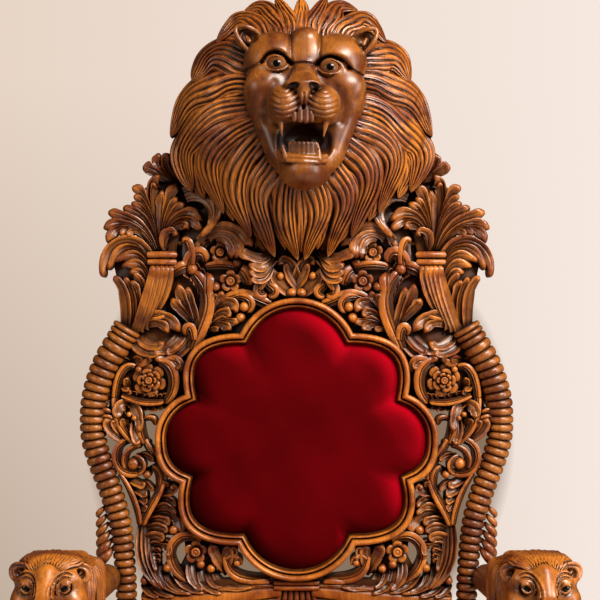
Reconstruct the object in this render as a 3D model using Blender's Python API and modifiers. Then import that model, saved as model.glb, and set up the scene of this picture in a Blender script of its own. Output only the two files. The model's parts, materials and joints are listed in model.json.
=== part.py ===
"""A carved wooden throne with a lion's head on its crest and a lion's head on each arm.

Metres, +Z up. The front faces -Y, the sitter's sides are -X and +X, and the origin is on
the floor, under the middle of the throne. The back stands upright: its carving, its two
ribbed stiles and its eight-lobed velvet medallion share one plane, BACK_Y. Layouts on the
back are given as (out, up) in millimetres from the medallion's centre, for the -X half;
the +X half is its mirror image.
"""

import math

import bmesh
import bpy
from mathutils import Vector

MM = 0.001
GAP = 0.0003              # left between touching pieces

# The throne as a whole
SEAT_HEIGHT = 0.430       # top of the seat rails
HALF_DEPTH = 0.400        # the paws at -Y and the rear feet at +Y stay within it
ARM_X = 0.382             # middle of each arm lion

# The back
BACK_Y = 0.245            # rear plane of everything carved on the back
PANEL_THICK = 0.010       # backing panel behind medallion and crest
MEDALLION_Z = 1.007
RAIL_TOP_Z = 0.690        # top of the lower back rail, under the carving
RAIL_LOW_Z = 0.625

# The medallion: a quarter of its outline, from the top lobe round to the side lobe. Top and
# side lobes are round arcs about centres on the axes; the diagonal lobe is a Bezier curve.
TOP_CENTRE, TOP_RADIUS = 0.1478, 0.1191
SIDE_CENTRE, SIDE_RADIUS = 0.1791, 0.0898
CUSP_HIGH, CUSP_LOW = (0.1074, 0.1995), (0.2119, 0.0836)
DIAGONAL_LOBE = [CUSP_HIGH, (0.1874, 0.1995), (0.2278, 0.1625), CUSP_LOW]
MOULD_WIDTH = 0.024
LOBE_STEPS = 6            # straight runs in one whole lobe

# The stiles: the ribbed horn's centre line, its radii and its ribs
HORN = [(322, 212), (337, 187), (360, 149), (376, 111), (386, 73), (389, 35), (387, -3),
        (377, -41), (363, -79), (350, -117), (339, -155), (333, -193), (329, -231), (326, -269),
        (325, -307), (325, -345), (325, -380)]
HORN_Y = 0.215
HORN_RADIUS = 0.0285      # at its top
HORN_RADIUS_LOW = 0.0205
RIB_DEPTH = 0.0044
RIB_COUNT = 40
LEG_RADIUS = 0.024
STILE_SIDES = 7
CUTTER_SIDES = 12         # sides of the tubes that clear a stile

# Carved bodies: voxel size of the fused skin, and triangles after thinning
CARVING_SKIN = (0.0045, 1215)
CREST_SKIN = (0.0045, 1300)
ARM_SKIN = (0.004, 415)
LEG_SKIN = (0.004, 240)
COLLAR_SKIN = (0.002, 200)

# Wood and cloth colours
GOLDEN_WOOD = (0.42, 0.17, 0.055)
DARK_WOOD = (0.10, 0.035, 0.012)
VELVET_RED = (0.20, 0.003, 0.008)
EYE_GLASS = (0.03, 0.018, 0.010)

# Leaf fingers and stems: (Bezier control points, width at the root, width at the tip).
# Neighbours in one fan are joined by a low web.
PLUME_FAN = [
    ([(246, 360), (254, 385), (242, 398), (227, 387)], 19, 15),
    ([(250, 362), (244, 404), (218, 421), (206, 398)], 11, 11),
    ([(254, 362), (248, 411), (210, 440), (178, 392)], 13, 13),
    ([(256, 362), (256, 411), (218, 449), (178, 413)], 13, 11),
    ([(257, 364), (254, 411), (240, 436), (212, 447)], 11, 13),
    ([(259, 364), (256, 411), (246, 440), (227, 459)], 10, 11),
    ([(261, 364), (257, 425), (248, 457), (227, 484)], 11, 15),
    ([(263, 364), (259, 411), (257, 444), (256, 472)], 10, 8),
    ([(263, 377), (278, 449), (282, 480), (267, 484)], 10, 15),
    ([(263, 371), (278, 444), (292, 491), (259, 499)], 11, 10),
    ([(263, 368), (271, 434), (286, 470), (314, 478)], 13, 13),
    ([(265, 368), (273, 425), (286, 455), (311, 461)], 11, 11),
    ([(265, 364), (269, 411), (284, 442), (316, 447)], 11, 11),
    ([(265, 360), (275, 408), (297, 436), (332, 438)], 15, 17),
    ([(269, 360), (282, 404), (320, 425), (360, 430)], 15, 17),
    ([(273, 360), (286, 402), (332, 423), (368, 398)], 13, 13),
    ([(276, 360), (292, 404), (351, 423), (360, 371)], 11, 13),
    ([(280, 366), (295, 408), (328, 415), (335, 383)], 10, 10),
    ([(282, 366), (294, 400), (313, 406), (322, 381)], 8, 10),
]
PLUME_TOP = [
    ([(225, 489), (252, 506), (263, 533), (238, 539)], 8, 13),
    ([(225, 489), (254, 497), (267, 518), (263, 544)], 11, 13),
    ([(237, 491), (259, 503), (278, 514), (294, 516)], 13, 17),
]
TRUNK = [
    ([(275, 237), (252, 267), (242, 294), (242, 328)], 10, 11),
    ([(282, 221), (259, 263), (252, 292), (252, 328)], 13, 11),
    ([(294, 206), (271, 259), (263, 292), (263, 328)], 13, 11),
    ([(309, 202), (282, 259), (275, 292), (273, 328)], 15, 11),
    ([(297, 229), (275, 278), (290, 332), (322, 316)], 10, 10),
    ([(301, 225), (267, 290), (286, 358), (335, 332)], 11, 11),
    ([(301, 216), (256, 309), (294, 377), (349, 343)], 11, 11),
    ([(305, 206), (244, 343), (313, 404), (381, 381), (366, 309)], 15, 19),
]
TRUNK_STEMS = [
    ([(311, 210), (299, 254), (303, 282), (316, 301)], 10, 8),
    ([(320, 206), (305, 254), (316, 295), (337, 309)], 15, 13),
    ([(328, 206), (320, 254), (332, 292), (351, 301)], 15, 13),
]
SHOULDER_LEAF = [
    ([(309, 200), (282, 229), (256, 225), (244, 200)], 11, 11),
    ([(316, 197), (288, 240), (244, 244), (221, 202)], 15, 17),
]
SHOULDER_SHELL = [
    ([(202, 206), (218, 176), (233, 161), (252, 164)], 13, 11),
    ([(199, 197), (214, 164), (240, 145), (273, 153)], 15, 11),
    ([(219, 204), (229, 181), (248, 168), (275, 161)], 13, 10),
    ([(316, 195), (311, 168), (282, 155), (259, 161)], 13, 10),
    ([(307, 200), (294, 178), (269, 168), (252, 183)], 15, 11),
]
STEM_FAN = [
    ([(176, 200), (166, 212), (157, 212), (149, 202)], 8, 8),
    ([(174, 202), (157, 225), (134, 225), (126, 202)], 8, 8),
    ([(172, 206), (153, 229), (130, 229), (109, 219)], 10, 11),
    ([(172, 210), (157, 240), (134, 248), (126, 229)], 15, 10),
    ([(172, 214), (157, 259), (115, 278), (115, 237)], 11, 15),
    ([(172, 218), (161, 248), (149, 265), (140, 280)], 10, 10),
    ([(172, 221), (164, 248), (159, 263), (151, 276)], 8, 8),
    ([(172, 221), (168, 248), (166, 263), (168, 278)], 8, 8),
]
STEM_LEAF = [
    ([(189, 187), (191, 229), (202, 263), (208, 288)], 10, 11),
    ([(191, 197), (202, 240), (219, 267), (225, 294)], 10, 10),
    ([(193, 206), (206, 246), (229, 244), (237, 267)], 11, 15),
]
PALMETTE = [
    ([(-12, 276), (12, 301), (22, 316), (20, 335)], 11, 8),
    ([(-12, 270), (2, 332), (24, 358), (35, 328)], 11, 11),
    ([(-12, 268), (28, 278), (50, 301), (43, 324)], 13, 11),
]
SWAG = [
    ([(45, 347), (50, 316), (73, 316), (90, 333)], 11, 10),
    ([(45, 339), (50, 305), (73, 307), (90, 320)], 11, 10),
    ([(48, 324), (56, 297), (73, 295), (88, 305)], 10, 8),
]
ARCHES = [
    ([(153, 379), (134, 389), (117, 366), (123, 345)], 8, 8),
    ([(168, 383), (134, 404), (104, 377), (115, 345)], 11, 11),
    ([(183, 377), (153, 411), (111, 408), (86, 362)], 11, 15),
]
SCROLL_TOP = [
    ([(210, 457), (176, 476), (138, 438), (166, 400)], 10, 8),
    ([(214, 468), (164, 495), (111, 446), (183, 381)], 13, 11),
]
LOWER_LEAF = [
    ([(295, -193), (286, -140), (259, -109), (231, -132)], 11, 11),
    ([(294, -202), (282, -143), (229, -117), (219, -174)], 11, 10),
    ([(294, -208), (282, -162), (256, -145), (244, -162)], 11, 10),
    ([(294, -216), (286, -181), (267, -168), (248, -176)], 11, 10),
    ([(292, -231), (282, -193), (267, -183), (256, -197)], 11, 10),
    ([(288, -259), (278, -212), (267, -200), (254, -214)], 11, 10),
]
BASE_LEAF = [
    ([(88, -292), (130, -288), (157, -276), (161, -256)], 11, 11),
    ([(130, -295), (172, -292), (195, -273), (191, -250)], 13, 11),
    ([(161, -299), (199, -292), (225, -276), (231, -252)], 11, 11),
    ([(193, -301), (229, -292), (254, -278), (254, -254)], 11, 11),
    ([(221, -301), (259, -295), (278, -276), (276, -242)], 11, 11),
    ([(250, -303), (278, -295), (294, -280)], 11, 10),
]
SIDE_LEAF = [
    ([(335, -71), (314, -94), (292, -86)], 8, 8),
    ([(328, -83), (307, -105), (282, -105)], 8, 8),
    ([(320, -94), (301, -117), (282, -123)], 8, 8),
    ([(339, -67), (320, -98), (301, -124), (282, -140)], 11, 8),
]
FANS = [PLUME_FAN, PLUME_TOP, TRUNK, TRUNK_STEMS, SHOULDER_LEAF, SHOULDER_SHELL, STEM_FAN, STEM_LEAF,
        PALMETTE, SWAG, ARCHES, SCROLL_TOP, LOWER_LEAF, BASE_LEAF, SIDE_LEAF]

STEMS = [
    ([(278, 231), (263, 231), (248, 240)], 9, 8),
    ([(248, 145), (233, 153), (219, 142), (225, 124)], 11, 13),
    ([(278, 159), (294, 149), (311, 142)], 13, 13),
    ([(199, 168), (183, 221), (142, 263), (199, 318)], 15, 13),
    ([(197, 187), (197, 214), (210, 218), (210, 195)], 10, 11),
    ([(50, 254), (81, 263), (107, 294), (149, 252)], 11, 10),
    ([(115, 269), (92, 275), (77, 252), (96, 240)], 9, 9),
    ([(202, 332), (199, 362), (208, 385), (216, 371)], 10, 9),
    ([(197, 335), (191, 366), (168, 389), (147, 379)], 11, 10),
    ([(210, 332), (202, 358), (172, 362), (174, 332)], 11, 10),
    ([(172, 269), (172, 292), (172, 316)], 11, 17),
    ([(134, 398), (132, 430)], 21, 21),
    ([(83, 362), (79, 377), (79, 392)], 11, 11),
    ([(73, 396), (69, 370), (48, 351)], 11, 10),
    ([(66, 385), (47, 343), (54, 311), (77, 282)], 12, 11),
    ([(66, 301), (81, 282), (69, 263), (58, 278)], 10, 9),
    ([(54, 301), (58, 282), (31, 294), (39, 265), (54, 273)], 9, 9),
    ([(107, 320), (92, 313), (90, 290)], 15, 13),
    ([(111, 324), (138, 335), (176, 326)], 9, 8),
    ([(66, 385), (85, 400), (66, 411)], 10, 10),
    ([(259, 147), (229, 142), (225, 88), (252, 66)], 15, 12),
    ([(316, 138), (351, 111), (358, 47), (301, -16)], 13, 12),
    ([(244, 69), (278, 64), (305, 69), (324, 77)], 12, 11),
    ([(313, 69), (286, 31), (313, 5), (259, -41), (240, -83), (278, -140)], 12, 12),
    ([(297, 26), (290, 41), (271, 47), (265, 24)], 9, 9),
    ([(301, -14), (328, 5), (351, 20), (362, 35)], 11, 10),
    ([(313, -9), (339, -1), (356, 7), (362, 20)], 9, 9),
    ([(339, 28), (351, 39), (364, 58)], 10, 9),
    ([(303, -37), (284, -28), (265, -43)], 9, 9),
    ([(278, -56), (259, -71), (265, -105)], 10, 10),
    ([(292, -320), (297, -242), (301, -178), (267, -123)], 17, 11),
    ([(301, -178), (305, -155), (309, -132)], 11, 10),
    ([(256, -121), (248, -98), (227, -90)], 11, 15),
    ([(30, -284), (126, -290), (202, -299), (297, -303)], 22, 22),
    ([(30, -312), (126, -316), (202, -318), (300, -320)], 24, 24),
    ([(134, -275), (149, -242), (159, -216), (162, -202)], 12, 17),
    ([(30, -275), (123, -284), (142, -235), (130, -204)], 17, 17),
    ([(115, -265), (126, -231), (107, -212), (105, -238)], 9, 10),
    ([(237, -246), (240, -189), (187, -166), (172, -210)], 11, 9),
]
# Short hidden bars that tie neighbouring leaves together behind their fronts
TIES = [
    [(292, 488), (288, 512)], [(262, 322), (262, 366)], [(199, 318), (232, 322)], [(216, 371), (240, 374)],
    [(164, 400), (150, 352)], [(145, 330), (128, 318)], [(90, 345), (118, 350)], [(168, 316), (145, 300)],
    [(107, 229), (102, 250)], [(232, 276), (262, 262)], [(259, 147), (272, 158)], [(320, 140), (340, 165)],
    [(252, 66), (240, 30)], [(284, -69), (258, -66)], [(330, -66), (316, -48)], [(262, -248), (238, -246)],
    [(197, -236), (197, -262)], [(162, -248), (172, -262)], [(228, -92), (200, -100)], [(40, 300), (22, 288)],
    [(54, 262), (52, 290)], [(178, 400), (206, 420)], [(125, 290), (140, 278)], [(313, -60), (339, -70)],
    [(284, 116), (262, 100)], [(300, 130), (340, 100)], [(172, -202), (160, -190)], [(328, 40), (345, 45)],
]
BEADS = [(199, 322, 12), (100, 250, 11), (168, 446, 10), (225, 322, 14), (85, 345, 11), (31, 309, 9),
         (113, 335, 11), (155, 288, 11), (9, 276, 11), (107, 229, 11), (301, 132, 9), (311, 39, 9),
         (328, 54, 10), (284, -69, 11), (292, -269, 10), (250, -246, 10), (250, -216, 10),
         (181, -240, 10), (162, -248, 11)]
ROSES = [(145, 354, 20), (126, 299, 21), (280, 111, 36), (197, -221, 21)]
SCROLL = (314, -48, 31)   # centre and outer radius of the one open spiral

# Lion's mane: lock centre lines as (out, up) in mm from the middle of the face
MANE_LOCKS = [
    [(20, 168), (45, 195), (80, 196), (98, 186)],
    [(73, 162), (113, 177), (141, 153), (152, 122)],
    [(108, 120), (150, 130), (178, 112), (184, 86)],
    [(108, 89), (159, 93), (190, 75), (197, 53)],
    [(110, 56), (177, 34), (214, -2), (242, -43)],
    [(113, 34), (168, -21), (196, -76), (205, -140)],
    [(125, -2), (155, -57), (165, -103), (181, -130)],
    [(108, 16), (141, -39), (159, -103), (146, -180)],
    [(100, -30), (122, -94), (108, -149), (91, -222)],
    [(86, -76), (80, -140), (58, -194), (44, -258)],
    [(30, -135), (27, -180), (25, -230), (16, -268)],
]
FACE_Z = 1.620
FACE_X = 0.009


# ---------------------------------------------------------------- helpers

def clear_scene():
    for item in list(bpy.data.objects):
        bpy.data.objects.remove(item, do_unlink=True)


def collection(name):
    made = bpy.data.collections.new(name)
    bpy.context.scene.collection.children.link(made)
    return made


def material(name, colour, roughness, metallic=0.0):
    made = bpy.data.materials.new(name)
    made.use_nodes = True
    shader = made.node_tree.nodes["Principled BSDF"]
    shader.inputs["Base Color"].default_value = (*colour, 1.0)
    shader.inputs["Roughness"].default_value = roughness
    shader.inputs["Metallic"].default_value = metallic
    return made


def spot(out, up, y=0.0):
    """A place on the back's -X half, from millimetres about the medallion's centre."""
    return Vector((-out * MM, y, MEDALLION_Z + up * MM))


def bezier(points, t):
    """The point at t on the Bezier curve of any number of control points."""
    row = [Vector(p) for p in points]
    while len(row) > 1:
        row = [a.lerp(b, t) for a, b in zip(row, row[1:])]
    return row[0]


def add_object(name, mesh, group):
    made = bpy.data.objects.new(name, mesh)
    group.objects.link(made)
    return made


def evaluated_mesh(item, weld=False):
    """The item's mesh with its modifiers and its place applied; weld closes a curve's caps."""
    bpy.context.view_layer.update()
    graph = bpy.context.evaluated_depsgraph_get()
    mesh = bpy.data.meshes.new_from_object(item.evaluated_get(graph))
    mesh.transform(item.matrix_world)
    shape = bmesh.new()
    shape.from_mesh(mesh)
    if weld:
        bmesh.ops.remove_doubles(shape, verts=shape.verts, dist=1e-6)
    bmesh.ops.recalc_face_normals(shape, faces=shape.faces)
    shape.to_mesh(mesh)
    shape.free()
    return mesh


def tube(points, radii, sides=8, flat=1.0, y_centre=None):
    """A capped tube along points, as a mesh; flat stretches its section along Y."""
    curve = bpy.data.curves.new("tube", "CURVE")
    curve.dimensions = "3D"
    curve.bevel_depth = 1.0
    curve.bevel_resolution = (sides - 4) // 2
    curve.use_fill_caps = True
    spline = curve.splines.new("POLY")
    spline.points.add(len(points) - 1)
    for target, place, radius in zip(spline.points, points, radii):
        target.co = (*place, 1.0)
        target.radius = radius
    item = add_object("tube", curve, bpy.context.scene.collection)
    if y_centre is not None:
        item.scale = (1.0, flat, 1.0)
        item.location = (0.0, y_centre, 0.0)
    mesh = evaluated_mesh(item, weld=True)
    bpy.data.objects.remove(item, do_unlink=True)
    return mesh


def ball(centre, radii, segments=16, rings=10):
    """An ellipsoid mesh."""
    shape = bmesh.new()
    bmesh.ops.create_uvsphere(shape, u_segments=segments, v_segments=rings, radius=1.0)
    bmesh.ops.scale(shape, vec=radii, verts=shape.verts)
    bmesh.ops.translate(shape, vec=centre, verts=shape.verts)
    mesh = bpy.data.meshes.new("ball")
    shape.to_mesh(mesh)
    shape.free()
    return mesh


def block(low, high):
    """A box mesh between two corners."""
    shape = bmesh.new()
    bmesh.ops.create_cube(shape, size=1.0)
    size = Vector(high) - Vector(low)
    bmesh.ops.scale(shape, vec=size, verts=shape.verts)
    bmesh.ops.translate(shape, vec=(Vector(low) + Vector(high)) / 2, verts=shape.verts)
    mesh = bpy.data.meshes.new("block")
    shape.to_mesh(mesh)
    shape.free()
    return mesh


def prism(outline, y_front, y_rear):
    """A flat outline of (x, z) points in the back's plane, extruded along Y."""
    shape = bmesh.new()
    ring = [shape.verts.new((x, y_front, z)) for x, z in outline]
    face = shape.faces.new(ring)
    swept = bmesh.ops.extrude_face_region(shape, geom=[face])
    moved = [item for item in swept["geom"] if isinstance(item, bmesh.types.BMVert)]
    bmesh.ops.translate(shape, vec=(0.0, y_rear - y_front, 0.0), verts=moved)
    bmesh.ops.recalc_face_normals(shape, faces=shape.faces)
    mesh = bpy.data.meshes.new("prism")
    shape.to_mesh(mesh)
    shape.free()
    return mesh


def joined(name, meshes, group):
    """One object that holds all the meshes, still as separate shells."""
    shape = bmesh.new()
    for mesh in meshes:
        shape.from_mesh(mesh)
        bpy.data.meshes.remove(mesh)
    whole = bpy.data.meshes.new(name)
    shape.to_mesh(whole)
    shape.free()
    return add_object(name, whole, group)


def triangle_count(mesh):
    return sum(len(face.vertices) - 2 for face in mesh.polygons)


def bake(item):
    """Apply the item's modifiers."""
    mesh = evaluated_mesh(item)
    item.modifiers.clear()
    item.data = mesh


def voxel_remesh(item, voxel):
    """Make one clean closed skin of the item's mesh."""
    remesh = item.modifiers.new("fuse", "REMESH")
    remesh.mode = "VOXEL"
    remesh.voxel_size = voxel
    bake(item)


def fused(name, meshes, skin, group, smooth=2, cuts=()):
    """Overlapping shells fused into one carved body, cut to fit; skin is its voxel and triangles."""
    voxel, triangles = skin
    item = joined(name, meshes, group)
    voxel_remesh(item, voxel)
    if smooth:
        soften = item.modifiers.new("soften", "SMOOTH")
        soften.factor = 0.5
        soften.iterations = smooth
        bake(item)
    for other, operation in cuts:
        boolean(item, other, operation)
    if cuts:
        voxel_remesh(item, voxel)
    largest_body(item)
    thin = item.modifiers.new("thin", "DECIMATE")
    thin.ratio = triangles / triangle_count(item.data)
    bake(item)
    return item


def pressed_flat(item, low, high):
    """Bring the few vertices that thinning moved past a flat side back onto it."""
    for vert in item.data.vertices:
        vert.co = [min(max(value, lowest), highest) for value, lowest, highest in zip(vert.co, low, high)]


def boolean(item, other, operation):
    """Cut or join item with a mesh, which is used up."""
    tool = add_object("tool", other, bpy.context.scene.collection)
    step = item.modifiers.new("boolean", "BOOLEAN")
    step.operation = operation
    step.solver = "EXACT"
    step.object = tool
    bake(item)
    bpy.data.objects.remove(tool, do_unlink=True)


def largest_body(item):
    """Keep the largest connected body of the item's mesh and drop crumbs."""
    shape = bmesh.new()
    shape.from_mesh(item.data)
    left = set(shape.verts)
    bodies = []
    while left:
        front = [left.pop()]
        body = set(front)
        while front:
            vert = front.pop()
            for edge in vert.link_edges:
                other = edge.other_vert(vert)
                if other in left:
                    left.remove(other)
                    body.add(other)
                    front.append(other)
        bodies.append(body)
    bodies.sort(key=len)
    for body in bodies[:-1]:
        bmesh.ops.delete(shape, geom=list(body), context="VERTS")
    shape.to_mesh(item.data)
    shape.free()


def mirrored(item, name, group):
    """A mirror image of item across the throne's middle plane."""
    shape = bmesh.new()
    shape.from_mesh(item.data)
    for vert in shape.verts:
        vert.co.x = -vert.co.x
    bmesh.ops.reverse_faces(shape, faces=shape.faces)
    mesh = bpy.data.meshes.new(name)
    shape.to_mesh(mesh)
    shape.free()
    return add_object(name, mesh, group)


def finish(item, look, smooth_angle=40.0):
    item.data.materials.clear()
    item.data.materials.append(look)
    item.data.shade_smooth()
    item.data.set_sharp_from_angle(angle=math.radians(smooth_angle))


# ---------------------------------------------------------------- medallion

def top_lobe(t):
    """Half the top lobe, from its crown to the higher cusp."""
    end = math.atan2(CUSP_HIGH[0], CUSP_HIGH[1] - TOP_CENTRE)
    return Vector((math.sin(end * t) * TOP_RADIUS, TOP_CENTRE + math.cos(end * t) * TOP_RADIUS))


def side_lobe(t):
    """Half the side lobe, from the lower cusp to its outermost point."""
    start = math.atan2(CUSP_LOW[1], CUSP_LOW[0] - SIDE_CENTRE)
    angle = start * (1.0 - t)
    return Vector((SIDE_CENTRE + math.cos(angle) * SIDE_RADIUS, math.sin(angle) * SIDE_RADIUS))


def diagonal_lobe(t):
    return bezier(DIAGONAL_LOBE, t)


def outward(curve, t):
    """The unit normal of a curve that runs clockwise round the medallion."""
    step = 0.001
    along = curve(min(t + step, 1.0)) - curve(max(t - step, 0.0))
    return Vector((-along.y, along.x)).normalized()


def medallion_outline(inset, per_lobe):
    """The eight-lobed outline moved in by inset, mitred at its cusps, as (x, z) points."""
    curves = [(top_lobe, per_lobe // 2), (diagonal_lobe, per_lobe), (side_lobe, per_lobe // 2)]
    quarter = []
    for index, (curve, count) in enumerate(curves):
        for step in range(count + (index == 2)):
            t = step / count
            normal = outward(curve, t)
            if step == 0 and index > 0:
                before = outward(curves[index - 1][0], 1.0)
                normal = (normal + before) / (1.0 + normal.dot(before))
            place = curve(t) - normal * inset
            quarter.append((place.x, place.y))
    half = quarter + [(x, -z) for x, z in reversed(quarter[:-1])]
    return half + [(-x, z) for x, z in reversed(half[1:-1])]


def lobed_loft(name, rings, group, closed):
    """Skin a stack of (outline, y) rings; closed joins the last ring to the first."""
    shape = bmesh.new()
    rows = [[shape.verts.new((x, y, MEDALLION_Z + z)) for x, z in outline] for outline, y in rings]
    pairs = list(zip(rows, rows[1:])) + ([(rows[-1], rows[0])] if closed else [])
    for upper, lower in pairs:
        for index in range(len(upper)):
            following = (index + 1) % len(upper)
            shape.faces.new((upper[index], upper[following], lower[following], lower[index]))
    if not closed:
        shape.faces.new(rows[0])
        shape.faces.new(rows[-1])
    bmesh.ops.recalc_face_normals(shape, faces=shape.faces)
    mesh = bpy.data.meshes.new(name)
    shape.to_mesh(mesh)
    shape.free()
    return add_object(name, mesh, group)


def make_medallion_frame(group, look):
    """Moulding round the velvet: a bead outside, a cove and a lower bead inside."""
    profile = [(0.0, BACK_Y), (0.0, 0.193), (0.0055, 0.186), (0.012, 0.203), (0.018, 0.196),
               (MOULD_WIDTH, 0.201), (MOULD_WIDTH, BACK_Y)]
    rings = [(medallion_outline(inset, LOBE_STEPS), y) for inset, y in profile]
    finish(lobed_loft("medallion_frame", rings, group, closed=True), look)


def make_medallion_pad(group, look):
    """The padded velvet: steep at its edge, then a low crown."""
    inside = medallion_outline(MOULD_WIDTH + GAP, LOBE_STEPS)
    rings = [(inside, BACK_Y), (inside, 0.216)]
    for scale, y in [(0.90, 0.199), (0.55, 0.187)]:
        rings.append(([(x * scale, z * scale) for x, z in inside], y))
    finish(lobed_loft("medallion_pad", rings, group, closed=False), look)


def back_panel_outline():
    """Half the backing panel: round the medallion's lower lobes, up behind leaves and mane."""
    outline = medallion_outline(0.010, LOBE_STEPS - 2)
    right_half = outline[:len(outline) // 2 + 1]
    lower = [(x / MM, z / MM) for x, z in reversed(right_half) if z < 0.060]
    upper = [(246, 80), (246, 150), (262, 168), (264, 330), (262, 380), (250, 470), (256, 510),
             (236, 528), (190, 560), (120, 700), (60, 735)]
    return lower + upper


def make_back_panel(group, look):
    half = [spot(out, up) for out, up in back_panel_outline()]
    left = [(p.x, p.z) for p in half]
    right = [(-x, z) for x, z in reversed(left) if x < -1e-6]
    mesh = prism(left + right, BACK_Y + GAP, BACK_Y + GAP + PANEL_THICK)
    finish(add_object("back_panel", mesh, group), look)


# ---------------------------------------------------------------- carved back

FIT = 0.0018              # clearance of a carved edge round a piece let into it
CUT_FRONT_Y, CUT_REAR_Y = 0.10, 0.30      # reach of the cutters that pass through the carving
COLLAR_HALF = 0.0473      # half the opening for the lower collar
COLLAR_TOP_Z = 0.745
CARVE_MID_Y = 0.226       # middle plane of leaves and stems
CARVE_HALF_DEPTH = 0.026
TIE_Y, TIE_RADIUS = 0.233, 0.006
WEB_FRONT_Y = 0.221
WEB_REAR_Y = BACK_Y + 0.010
SCROLL_BAR = 0.0065       # half width of the open scroll's bar


def frond(points, root, tip, steps=7):
    """A leaf finger or a stem: a tapering bar, deeper than it is wide."""
    places = [spot(*bezier(points, step / steps)) for step in range(steps + 1)]
    half = [(root + (tip - root) * step / steps) * MM / 2 for step in range(steps + 1)]
    half[-1] *= 0.6
    flat = CARVE_HALF_DEPTH / (max(root, tip) * MM / 2)
    return tube(places, half, sides=8, flat=flat, y_centre=CARVE_MID_Y)


def web(one, other, reach=0.72, steps=6):
    """The low ground between two neighbouring leaf fingers."""
    shape = bmesh.new()
    rows = []
    for step in range(steps + 1):
        t = reach * step / steps
        rows.append([shape.verts.new(spot(*bezier(curve[0], t), WEB_REAR_Y)) for curve in (one, other)])
    for (a, b), (c, d) in zip(rows, rows[1:]):
        shape.faces.new((a, b, d, c))
    bmesh.ops.solidify(shape, geom=shape.faces, thickness=0.001)
    front = [vert for vert in shape.verts if abs(vert.co.y - WEB_REAR_Y) > 0.0005]
    for vert in front:
        vert.co.y = WEB_FRONT_Y
    bmesh.ops.recalc_face_normals(shape, faces=shape.faces)
    mesh = bpy.data.meshes.new("web")
    shape.to_mesh(mesh)
    shape.free()
    return mesh


def rose(out, up, radius):
    """Five round petals about a raised middle."""
    middle = spot(out, up, 0.222)
    petals = [ball(middle, (radius * 0.45 * MM, 0.028, radius * 0.45 * MM), 10, 6)]
    for index in range(5):
        angle = 2 * math.pi * (index + 0.25) / 5
        place = middle + Vector((math.cos(angle), 0.0, math.sin(angle))) * radius * 0.58 * MM
        petals.append(ball(place, (radius * 0.44 * MM, 0.025, radius * 0.44 * MM), 10, 6))
    return petals


def spiral(out, up, radius):
    """The open scroll: one and a half turns inward to a round eye."""
    places = []
    steps = 22
    for step in range(steps + 1):
        angle = math.radians(100 + 500 * step / steps)
        reach = radius * (1.0 - 0.68 * step / steps) - 4
        places.append(spot(out - reach * math.cos(angle), up + reach * math.sin(angle)))
    radii = [SCROLL_BAR] * len(places)
    bar = tube(places, radii, sides=8, flat=CARVE_HALF_DEPTH / SCROLL_BAR, y_centre=CARVE_MID_Y)
    return [bar, ball(spot(out, up, 0.224), (0.011, 0.028, 0.011), 10, 6)]


def collar_band(up, half_length, radius):
    """One rounded band across the plume's neck."""
    left, right = spot(262 + half_length, up), spot(262 - half_length, up)
    return tube([left, right], [radius, radius], flat=0.030 / radius, y_centre=0.224)


def horn_point(fraction):
    """A place on the horn's centre line, smoothed, from 0 at its top to 1 at its foot."""
    reach = fraction * (len(HORN) - 1)
    index = min(int(reach), len(HORN) - 2)
    t = reach - index
    row = [HORN[max(index - 1, 0)], HORN[index], HORN[index + 1], HORN[min(index + 2, len(HORN) - 1)]]
    a, b, c, d = [Vector(p) for p in row]
    mixed = (2 * b + (c - a) * t + (2 * a - 5 * b + 4 * c - d) * t ** 2
             + (3 * b - a - 3 * c + d) * t ** 3) / 2
    return spot(mixed.x, mixed.y, HORN_Y)


def horn_radius(fraction):
    return HORN_RADIUS + (HORN_RADIUS_LOW - HORN_RADIUS) * min(1.0, fraction * 1.25)


REAR_LEG = [(0.325, 0.215, 0.600), (0.321, 0.215, 0.480), (0.322, 0.222, 0.400), (0.326, 0.262, 0.250),
            (0.331, 0.322, 0.100), (0.334, 0.368, 0.000), (0.3355, 0.391, -0.075)]


def stile_cutter(extra):
    """A smooth tube that clears the ribbed horn and the leg by extra."""
    steps = 26
    corner = 1 / math.cos(math.pi / CUTTER_SIDES)      # from a side's middle to its corners
    places = [horn_point(step / steps) for step in range(steps + 1)]
    radii = [(horn_radius(step / steps) + extra) * corner for step in range(steps + 1)]
    top = places[0] + (places[0] - places[1]).normalized() * extra
    places = [top] + places
    radii = [radii[0]] + radii
    for x, y, z in REAR_LEG[:-1]:
        places.append(Vector((-x, y, z)))
        radii.append((LEG_RADIUS + extra) * corner)
    return tube(places, radii, sides=CUTTER_SIDES)


def lion_block_outline(extra=0.0):
    """The crest lion's block, where it is let into the leaf carving, as (x, z) points."""
    half = [(0, 377), (79, 411), (136, 453), (190, 480), (212, 500), (204, 560), (185, 640),
            (120, 720), (60, 765)]
    middle = Vector((0, 600))
    left = []
    for corner in half:
        place = Vector(corner)
        place += (place - middle).normalized() * extra / MM
        left.append(spot(place.x, place.y))
    outline = [(p.x, p.z) for p in left]
    return outline + [(-x, z) for x, z in reversed(outline) if x < -1e-6]


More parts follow.
